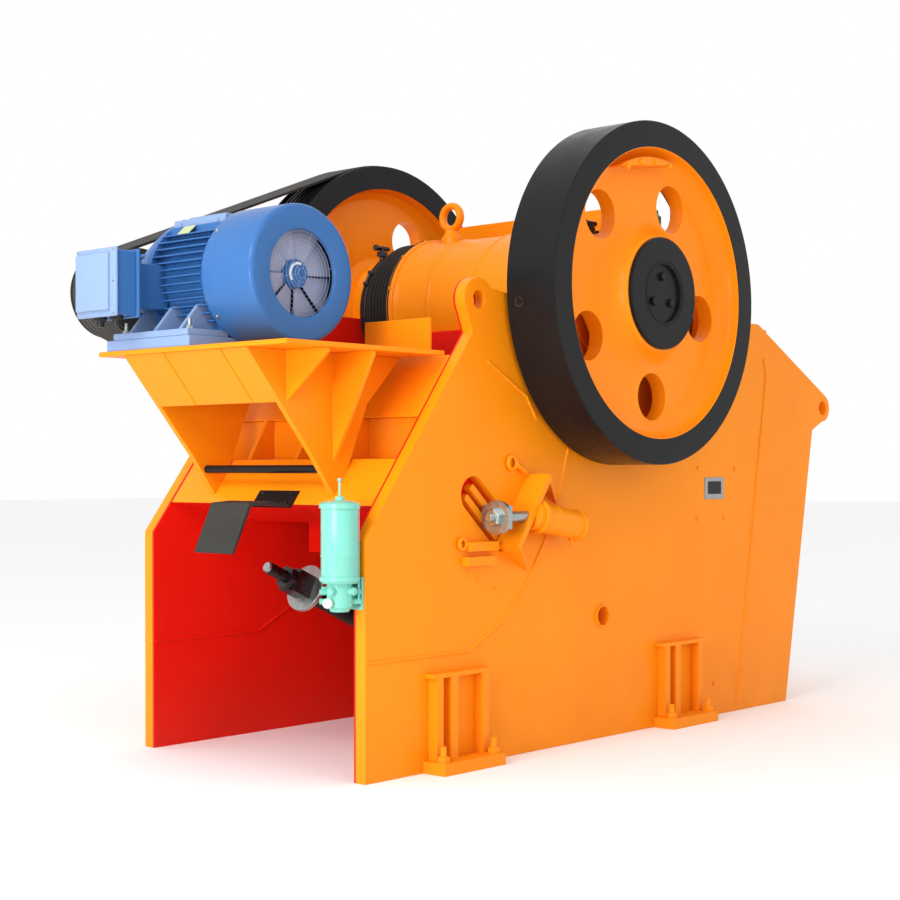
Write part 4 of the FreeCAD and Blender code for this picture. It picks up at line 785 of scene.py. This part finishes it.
def motor_body():
    """Finned stator and end shields."""
    turned_piece("motor_core", [
        [(COVER_BACK + 0.002, 0.10), (COVER_BACK + 0.002, SHIELD_R), (COVER_BACK + 0.030, SHIELD_R),
         (COVER_BACK + 0.034, CORE_R), (BODY_END - 0.034, CORE_R), (BODY_END - 0.030, SHIELD_R),
         (BODY_END, SHIELD_R), (BODY_END + 0.004, 0.275), (0.44, 0.270), (0.52, 0.235),
         (0.58, 0.170), (0.60, 0.120), (0.632, 0.110), (0.640, 0.100), (0.640, 0.0425),
         (0.37, 0.0425), (0.37, 0.10)]],
                 MOTOR, "motor_blue", replaces=("motor_frame",), steps=128)
    bm = bmesh.new()
    y0, y1 = COVER_BACK + 0.028, BODY_END - 0.028
    for k in range(-6, 7):
        off = FIN_PITCH * k
        inner, outer = sqrt(CORE_R ** 2 - off ** 2) - 0.004, sqrt(FIN_R ** 2 - off ** 2)
        for side in SIDES:
            block(bm, (MOTOR.x + side * inner, y0, MOTOR.z + off - FIN_HALF),
                  (MOTOR.x + side * outer, y1, MOTOR.z + off + FIN_HALF))
        if abs(off) < 0.18:
            for side in SIDES:
                block(bm, (MOTOR.x + off - FIN_HALF, y0, MOTOR.z + side * inner),
                      (MOTOR.x + off + FIN_HALF, y1, MOTOR.z + side * outer))
    for k in range(6):
        turn = Matrix.Rotation(-radians(30 + 60 * k), 4, "Y")
        block(bm, (0.16, 0.46, -0.008), (CORE_R, 0.50, 0.008), MOTOR_TURN @ turn)
    bevel(build("motor_fins", bm, "motor_blue"), 0.0014, 1)


def motor_mounts():
    """Stepped top plates, ribbed feet, bolts, a blank label and the lifting eyes."""
    low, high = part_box("motor_frame")
    top, foot_top = MOTOR.z + FIN_R, low.z + 0.030
    bm = bmesh.new()
    block(bm, (MOTOR.x - 0.150, -0.020, MOTOR.z + CORE_R - 0.03),
          (MOTOR.x + 0.150, 0.345, top - 0.016))
    block(bm, (MOTOR.x - 0.105, 0.030, top - 0.017), (MOTOR.x + 0.105, 0.290, top))
    for side, outer in zip(SIDES, (low.x, high.x)):
        inner = MOTOR.x + side * 0.150
        block(bm, (outer, -0.040, low.z), (inner, 0.495, foot_top))
        for y in (0.045, 0.225, 0.405):
            section = [(outer - side * 0.020, foot_top - 0.002), (inner, foot_top - 0.002),
                       (inner, 2.040), (MOTOR.x + side * 0.225, 2.115),
                       (MOTOR.x + side * 0.262, 2.105)]
            skin(bm, [[bm.verts.new((x, y + half, z)) for x, z in section]
                      for half in (-0.011, 0.011)])
    bevel(build("motor_feet", bm, "motor_grey"), 0.004)
    places = [((x, y, foot_top), UP) for x in (low.x + 0.045, high.x - 0.045) for y in (0.0, 0.455)]
    bolts("motor_bolts", places, 0.018, "bright_steel", stud=0.035)
    places = [(about(MOTOR, 0.284, radians(22.5 + 45 * k), BODY_END), (0, 1, 0))
              for k in range(8)]
    bolts("shield_bolts", places, 0.008, "bright_steel", washer=False)
    bm = bmesh.new()
    turn = Matrix.Rotation(radians(-132), 4, "Y")
    block(bm, (0.300, 0.150, -0.030), (0.304, 0.230, 0.030), MOTOR_TURN @ turn)
    bevel(build("blank_label", bm, "label"), 0.001, 1)
    eyes = bmesh.new()
    for y in (0.03, 0.29):
        lathe(eyes, ellipse(y, 0.022, 0.006, 0.006, 8), MOTOR + Vector((-0.13, 0, 0.262)), steps=24)
    build("motor_eyes", eyes, "motor_grey")


def terminal():
    """Terminal box with a pale bevelled lid, a flange rim, a neck, lid screws and cable glands."""
    low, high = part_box("terminal_box")
    lid, rim = low.x + 0.040, low.x + 0.150
    middle = (low + high) / 2
    bm = bmesh.new()
    block(bm, (lid, low.y + 0.010, low.z + 0.010), (rim, high.y - 0.010, high.z - 0.010))
    block(bm, (rim - 0.002, low.y, low.z), (rim + 0.018, high.y, high.z))
    block(bm, (rim + 0.014, low.y + 0.045, low.z + 0.050),
          (high.x + 0.02, high.y - 0.045, high.z - 0.055))
    bevel(build("terminal_case", bm, "motor_blue", replaces=("terminal_box",)), 0.008, 3)
    bm = bmesh.new()
    rings = []
    for x, inset in ((lid + 0.002, 0), (lid - 0.012, 0), (lid - 0.022, 0.026), (low.x, 0.026)):
        y0, z0, y1, z1 = low.y + inset, low.z + inset, high.y - inset, high.z - inset
        rings.append([bm.verts.new((x, y, z)) for y, z in ((y0, z0), (y1, z0), (y1, z1), (y0, z1))])
    skin(bm, rings)
    bevel(build("terminal_lid", bm, "motor_grey"), 0.006, 3)
    places = [((lid - 0.014, y, z), (-1, 0, 0)) for y in (low.y + 0.013, high.y - 0.013)
              for z in (low.z + 0.013, middle.z, high.z - 0.013)]
    bolts("lid_screws", places, 0.006, "bright_steel")
    bm = bmesh.new()
    x = (lid + rim) / 2
    for y in (middle.y - 0.06, middle.y + 0.06):
        hexagon(bm, (x, y, low.z + 0.012), -UP, 0.052, 0.022)
        bar(bm, (x, y, low.z - 0.006), (x, y, low.z - 0.038), 0.021, 20, 0.017)
    build("cable_glands", bm, "soft_black")


fan_cowl()
fan_wheel()
motor_body()
motor_mounts()
terminal()


# ---- grease pump -------------------------------
PIPE_X, PIPE_Y = -1.506, -0.751
KNOB = Vector((-1.640, -0.698, 0.040))  # height above the pump's base


def pump():
    """Green grease pump: banded tank with a domed lid, a cast base and its small fittings."""
    low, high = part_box("grease_pump")
    x, y, _ = (low + high) / 2
    base, tank, top = low.z, low.z + 0.135, high.z
    turned_piece("pump_tank", [
        [(tank - 0.012, 0.0), (tank - 0.012, 0.078), (tank, 0.088), (tank + 0.016, 0.088),
         (tank + 0.020, 0.081), (tank + 0.10, 0.081), (tank + 0.104, 0.083), (tank + 0.110, 0.083),
         (tank + 0.114, 0.081), (top - 0.040, 0.081), (top - 0.036, 0.089), (top - 0.018, 0.089),
         (top - 0.012, 0.082), (top - 0.004, 0.050), (top, 0.022), (top + 0.014, 0.018),
         (top + 0.018, 0.0)],
        [(top + 0.01, 0.0), (top + 0.01, 0.005), (top + 0.080, 0.005), (top + 0.082, 0.009),
         (top + 0.092, 0.009), (top + 0.094, 0.0)]],
                 (x, y, 0), "pump_green", replaces=("grease_pump",), axis="Z", steps=64)
    bm = bmesh.new()
    bar(bm, (x, y, base + 0.020), (x, y, tank - 0.010), 0.056, 28)
    bar(bm, (x, y, base), (x, y, base + 0.022), 0.040, 24, 0.052)
    for a in (0.4, 1.9, 3.4, 4.9):
        d, at = Vector((cos(a), sin(a), 0)), Vector((x, y, tank - 0.045))
        stem = at + d * 0.05
        bar(bm, at + d * 0.03, at + d * 0.074, 0.018, 14)
        hexagon(bm, at + d * 0.070, d, 0.030, 0.014)
        bar(bm, stem - UP * 0.05, stem + UP * 0.045, 0.008, 10)
        hexagon(bm, stem - UP * 0.052, -UP, 0.022, 0.01)
    for z in (base + 0.045, base + 0.085):
        bar(bm, (x - 0.072, y + 0.05, z), (x + 0.075, y - 0.055, z), 0.013, 14)
    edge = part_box("side_plate_near")[0].x
    flange = edge - 0.012
    block(bm, (flange, -PLATE_OUT + 0.008, base + 0.006), (edge, -PLATE_IN + 0.050, tank + 0.012))
    block(bm, (x, y - 0.030, base + 0.030), (edge - 0.002, y + 0.030, tank - 0.030))
    bevel(build("pump_base", bm, "pump_green"), 0.003)
    joint = (PIPE_X, PIPE_Y, base + 0.30)
    bead("pump_pipe", [(PIPE_X, PIPE_Y, base + 0.05), joint], 0.008, "pump_green")
    bead("pump_hose", [joint, (PIPE_X, PIPE_Y, top - 0.025)], 0.009, "pink_pipe")
    knob = bmesh.new()
    centre = KNOB + UP * base
    bmesh.ops.create_icosphere(knob, subdivisions=3, radius=0.022)
    bmesh.ops.translate(knob, verts=knob.verts, vec=centre)
    bar(knob, centre, (x, y, base + 0.060), 0.006, 10)
    build("pump_knob", knob, "white_knob")
    places = [((flange, at, z), (-1, 0, 0)) for z in (base + 0.025, tank - 0.010)
              for at in (-PLATE_OUT + 0.022, -0.660)]
    bolts("pump_bolts", places, 0.008, "bright_steel")


pump()


# ---- adjusters ---------------------------------
ADJUSTER_Y = 0.855
CYLINDER_START = (-0.459, 1.147)
CYLINDER_FALL = radians(9.7)
CYLINDER_RINGS = ((0.338, 0.0605, 0.079, 0.018), (0.032, 0.060, 0.084, 0.026),
                  (0.150, 0.060, 0.0735, 0.010))  # along, inner and outer radius, width
HOOK_Y = PLATE_OUT + 0.014
ADJUSTER_STUDS = ((-0.852, 1.015), (-0.800, 0.880), (-0.735, 0.850), (-0.610, 0.800))
TAG_STUDS = ((1.105, 1.370), (1.477, 1.365), (1.096, 1.092), (1.366, 1.091), (1.267, 0.177))


def adjuster_fittings():
    """Lips, collars, nuts, lifting hooks and studs round the two wedge adjusters."""
    d = Vector((cos(CYLINDER_FALL), 0, -sin(CYLINDER_FALL)))
    paint_parts, steel_parts, hook_parts = bmesh.new(), bmesh.new(), bmesh.new()
    low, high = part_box("adjuster_screws")
    face, mid = low.x, (low.z + high.z) / 2
    for side in SIDES:
        y, hook = side * ADJUSTER_Y, side * HOOK_Y
        start = Vector((CYLINDER_START[0], y, CYLINDER_START[1]))
        for reach, inner, outer, width in CYLINDER_RINGS:
            ring(paint_parts, start + d * reach, d, inner, outer, width)
        for reach, z0, z1, r in ((0.32, -0.060, -0.105, 0.011), (0.06, 0.060, 0.100, 0.016)):
            at = start + d * reach
            bar(paint_parts, at + UP * z0, at + UP * z1, r, 14)
        hexagon(steel_parts, (face, y, mid), (-1, 0, 0), 0.078, 0.030, 0.3)
        bar(steel_parts, (face - 0.02, y, mid), (face - 0.055, y, mid), 0.022, 20, 0.019)
        ring(steel_parts, (face + 0.0245, y, mid), (1, 0, 0), 0.0285, 0.050, 0.016)
        lathe(hook_parts, ellipse(hook, 0.030, 0.010, 0.010, 10), (-0.500, 0, 1.393), steps=32)
        lathe(hook_parts, ellipse(hook, 0.024, 0.009, 0.009, 10), (-0.855, 0, 1.020), steps=32)
        bar(hook_parts, (-0.47, hook, 1.385), (-0.40, hook, 1.350), 0.014, 14)
    bevel(build("adjuster_lips", paint_parts, "orange"), 0.003)
    bevel(build("adjuster_nuts", steel_parts, "bright_steel"), 0.002)
    build("adjuster_hooks", hook_parts, "orange")
    studs = [((x, side * PLATE_OUT, z), (0, side, 0))
             for side in SIDES for x, z in ADJUSTER_STUDS + TAG_STUDS]
    bolts("plate_studs", studs, 0.011, washer=False)


adjuster_fittings()

# ---- wedges, port rims and small fittings ------
WEDGE_FALL = Matrix.Rotation(radians(41.4), 4, "Y")
WEDGE_HALF = 0.163
PORT_X, PORT_Z, PORT_R = 0.230, 0.620, 0.048
OILER_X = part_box("feed_guard")[0].x + 0.015
FITTING_X, FITTING_Z = 0.166, 2.605
LINE_Y = 0.727  # where the grease fittings stand, beside the wheels

low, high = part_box("adjuster_wedges")
wedge_middle = (low + high) / 2
wedge_middle.y = 0
wedge_mesh = bmesh.new()
for side in SIDES:
    for offset in (-0.031, 0.031):
        block(wedge_mesh, (-WEDGE_HALF, side * (PLATE_IN + 0.0102), offset - 0.0165),
              (WEDGE_HALF, side * (PLATE_OUT - 0.012), offset + 0.0165),
              Matrix.Translation(wedge_middle) @ WEDGE_FALL)
bevel(build("wedge_bars", wedge_mesh, "orange", replaces=("adjuster_wedges",)), 0.004)
port_rims, port_discs = bmesh.new(), bmesh.new()
for side in SIDES:
    ring(port_rims, (PORT_X, side * (PLATE_OUT - 0.004), PORT_Z), (0, side, 0), PORT_R - 0.0005,
         PORT_R + 0.010, 0.016)
    bar(port_discs, (PORT_X, side * (PLATE_IN + 0.004), PORT_Z),
        (PORT_X, side * (PLATE_IN + 0.010), PORT_Z), PORT_R - 0.0001, 40)
bevel(build("port_rims", port_rims, "orange"), 0.003)
build("port_discs", port_discs, "interior_red")

oiler, fitting = bmesh.new(), bmesh.new()
for side in SIDES:
    y = side * LINE_Y
    lathe(oiler, [(2.600, 0.0), (2.600, 0.022), (2.612, 0.034), (2.700, 0.034), (2.715, 0.020),
                  (2.735, 0.018), (2.735, 0.0)], (OILER_X, y, 0), "Z", 32)
    bar(oiler, (OILER_X, side * 0.688, 2.640), (OILER_X, side * 0.730, 2.640), 0.010, 12)
    bar(fitting, (FITTING_X, y, 2.520), (FITTING_X, y, FITTING_Z + 0.005), 0.016, 16)
    hexagon(fitting, (FITTING_X, y, 2.560), UP, 0.056, 0.026)
    bar(fitting, (0.120, y, FITTING_Z), (0.215, y, FITTING_Z), 0.013, 14)
    hexagon(fitting, (0.125, y, FITTING_Z), (-1, 0, 0), 0.034, 0.018)
build("bearing_oilers", oiler, "pump_green")
build("grease_fittings", fitting, "dark_steel")
turned_piece("flange_bands", mirrored([(0.422, FLANGE_R - 0.003), (0.422, FLANGE_R + 0.002),
                                       (0.430, FLANGE_R + 0.002), (0.430, FLANGE_R - 0.003)]),
             SHAFT, "soft_black")
for k, y in enumerate((-0.25, 0.14)):
    bead(f"panel_seam_{k}", [(-1.8555, y, 1.884), (-1.6625, y, 1.656)], 0.006, ripple=0.2)
sockets = bmesh.new()
for degrees in (6, 186):
    d = spoke(radians(degrees))
    at = SHAFT + Vector((0, -0.855, 0)) + d * (WHEEL_R - 0.0085)
    ring(sockets, at, d, 0.017, 0.026, 0.0085, 28)
    bar(sockets, at - d * 0.02, at + d * 0.001, 0.020, 20)
build("sling_sockets", sockets, "dark_steel", "wheels")

# ---- weld seams --------------------------------
REAR_SEAM = [(-1.475, 0.523), (-0.798, 0.523), (-0.555, 0.651), (-0.373, 0.823), (-0.234, 1.023),
             (-0.115, 1.257), (-0.051, 1.472)]
FRONT_SEAM = [(1.500, 0.039), (1.591, 0.574), (1.810, 1.898), (1.783, 2.006)]
LUG_SEAM = [(-0.667, 1.867), (-0.379, 1.713), (-0.30, 1.60)]
for side, tag in zip(SIDES, ("near", "far")):
    for label, line in (("rear", REAR_SEAM), ("front", FRONT_SEAM), ("lug", LUG_SEAM)):
        path = [(x, side * PLATE_OUT, z) for x, z in line]
        bead(f"seam_{label}_{tag}", path, 0.0075, ripple=0.25)
    path = [(x, side * PLATE_IN, z) for x, z in REAR_SEAM[:4]]
    bead(f"seam_inner_{tag}", path, 0.006, "interior_red", ripple=0.25)

# ---- feet --------------------------------------
FOOT_X, ANCHOR_X, ANCHOR_Y, PAD_TOP = 0.898, 0.173, 0.850, 0.055
anchor_places = [((foot * FOOT_X + end * ANCHOR_X, side * ANCHOR_Y, PAD_TOP), UP)
                 for side in SIDES for foot in SIDES for end in SIDES]
bolts("anchor_nuts", anchor_places, 0.032, stud=0.045)

# ---- tension rod, clamp and plate details ------
ROD_FALL = radians(24.28)
ROD_START = Vector((-1.351, 0, 0.905))
ROD_WAY = Vector((cos(ROD_FALL), 0, -sin(ROD_FALL)))
thread, tip, nuts = bmesh.new(), bmesh.new(), bmesh.new()
for k in range(26):
    ring(thread, ROD_START + ROD_WAY * (0.004 + 0.0062 * k), ROD_WAY, 0.020, 0.0292, 0.003, 20)
build("rod_thread", thread, "dark_steel")
bar(tip, ROD_START - ROD_WAY * 0.010, ROD_START + ROD_WAY * 0.004, 0.022, 24, 0.027)
build("rod_tip", tip, "bright_steel")
hexagon(nuts, ROD_START + ROD_WAY * 0.115, ROD_WAY, 0.098, 0.040, 0.2)
hexagon(nuts, ROD_START + ROD_WAY * 0.160, ROD_WAY, 0.098, 0.036, 0.5)
build("rod_nuts", nuts, "dark_steel")

SLOPE_WAY, SLOPE_OUT = Vector((0.601, 0, 0.799)), Vector((-0.799, 0, 0.601))
low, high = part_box("flap_clamp")
clamp_places = []
for y in (low.y + 0.035, high.y - 0.035):
    for t in (-0.028, 0.028):
        at = (low + high) / 2 + SLOPE_WAY * t + SLOPE_OUT * 0.007
        clamp_places.append(((at.x, y, at.z), SLOPE_OUT))
bolts("clamp_bolts", clamp_places, 0.009, "dark_steel")

low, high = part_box("tag_plate")
tag, rivets = bmesh.new(), bmesh.new()
block(tag, (low.x + 0.030, low.y - 0.0012, low.z + 0.028),
      (high.x - 0.030, low.y + 0.001, high.z - 0.022))
build("tag_panel", tag, "soft_black")
for x in (low.x + 0.010, high.x - 0.010):
    for z in (low.z + 0.010, high.z - 0.010):
        bar(rivets, (x, low.y + 0.001, z), (x, low.y - 0.003, z), 0.004, 12, 0.0025)
build("tag_rivets", rivets, "bright_steel")

RIDGES = 16
RIDGE = ((-0.46, -0.002), (-0.22, 0.022), (0.0, 0.027), (0.22, 0.022), (0.46, -0.002))


def jaw_ridges(name, node, towards):
    """Vertical ridges down the working face of a jaw plate."""
    low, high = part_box(node)
    points = [v.co for v in NODES[node].data.vertices]
    pick = min if towards < 0 else max
    foot = Vector((pick(p.x for p in points if p.z < low.z + 0.002), 0, low.z))
    head = Vector((pick(p.x for p in points if p.z > high.z - 0.002), 0, high.z))
    up = (head - foot).normalized()
    out = Vector((towards * up.z, 0, -towards * up.x))
    margin = 0.02
    pitch = (high.y - low.y - 2 * margin) / RIDGES
    bm = bmesh.new()
    for k in range(RIDGES):
        y = low.y + margin + (k + 0.5) * pitch
        skin(bm, [[bm.verts.new(p + Vector((0, y + share * pitch, 0)) + out * rise)
                   for share, rise in RIDGE] for p in (foot + up * 0.03, head - up * 0.03)])
    build(name, bm, "cast_jaw", crease=50)


jaw_ridges("fixed_jaw_ridges", "fixed_jaw_plate", -1)
jaw_ridges("moving_jaw_ridges", "moving_jaw_plate", 1)

# ---- stage, lights and camera ------------------
floor_mesh = bpy.data.meshes.new("floor")
floor_grid = bmesh.new()
bmesh.ops.create_grid(floor_grid, x_segments=1, y_segments=1, size=60)
floor_grid.to_mesh(floor_mesh)
floor_grid.free()
floor = linked("floor", floor_mesh)
floor_shader = Shader("studio_floor")
floor_tone = floor_shader.mix(floor_shader.noise(0.4, 2.0), (0.90, 0.90, 0.90), (0.93, 0.93, 0.93))
floor_mesh.materials.append(floor_shader.finish(floor_tone, 0.9))

world = bpy.data.worlds.new("studio")
SCENE.world = world
world.use_nodes = True
sky = world.node_tree.nodes["Background"]
sky.inputs["Color"].default_value = (1, 1, 1, 1)
sky.inputs["Strength"].default_value = 1.0


def aim(thing, place, way):
    """Puts a lamp or camera at a place, looking along a direction."""
    thing.location = place
    thing.rotation_euler = way.to_track_quat("-Z", "Y").to_euler()


def softbox(name, place, target, size, power):
    """A rectangular area lamp that looks at a target; power in watts."""
    data = bpy.data.lights.new(name, "AREA")
    data.energy = power
    data.shape = "RECTANGLE"
    data.size, data.size_y = size
    aim(linked(name, data), place, Vector(target) - Vector(place))


softbox("key", (-9.0, -1.5, 6.5), (0, 0, 1.4), (4, 3), 420)
softbox("fill", (-1.0, -10.0, 4.5), (0, 0, 1.3), (6, 4), 70)
softbox("rear", (-8.0, -2.0, 1.5), (0, 0.4, 0.8), (3, 2), 230)
SCENE.view_settings.view_transform = "Standard"

# The camera is the one fitted to the photograph's circles and edges.
YAW, PITCH = radians(41.56), radians(-0.693)
camera_data = bpy.data.cameras.new("camera")
camera_data.sensor_width = 36.0
camera_data.lens = 66.43
camera_data.shift_x = -0.0070
camera_data.shift_y = 0.0452
SCENE.camera = linked("camera", camera_data)
aim(SCENE.camera, (-6.5608, -5.7930, 1.3563),
    Vector((cos(YAW) * cos(PITCH), sin(YAW) * cos(PITCH), sin(PITCH))))
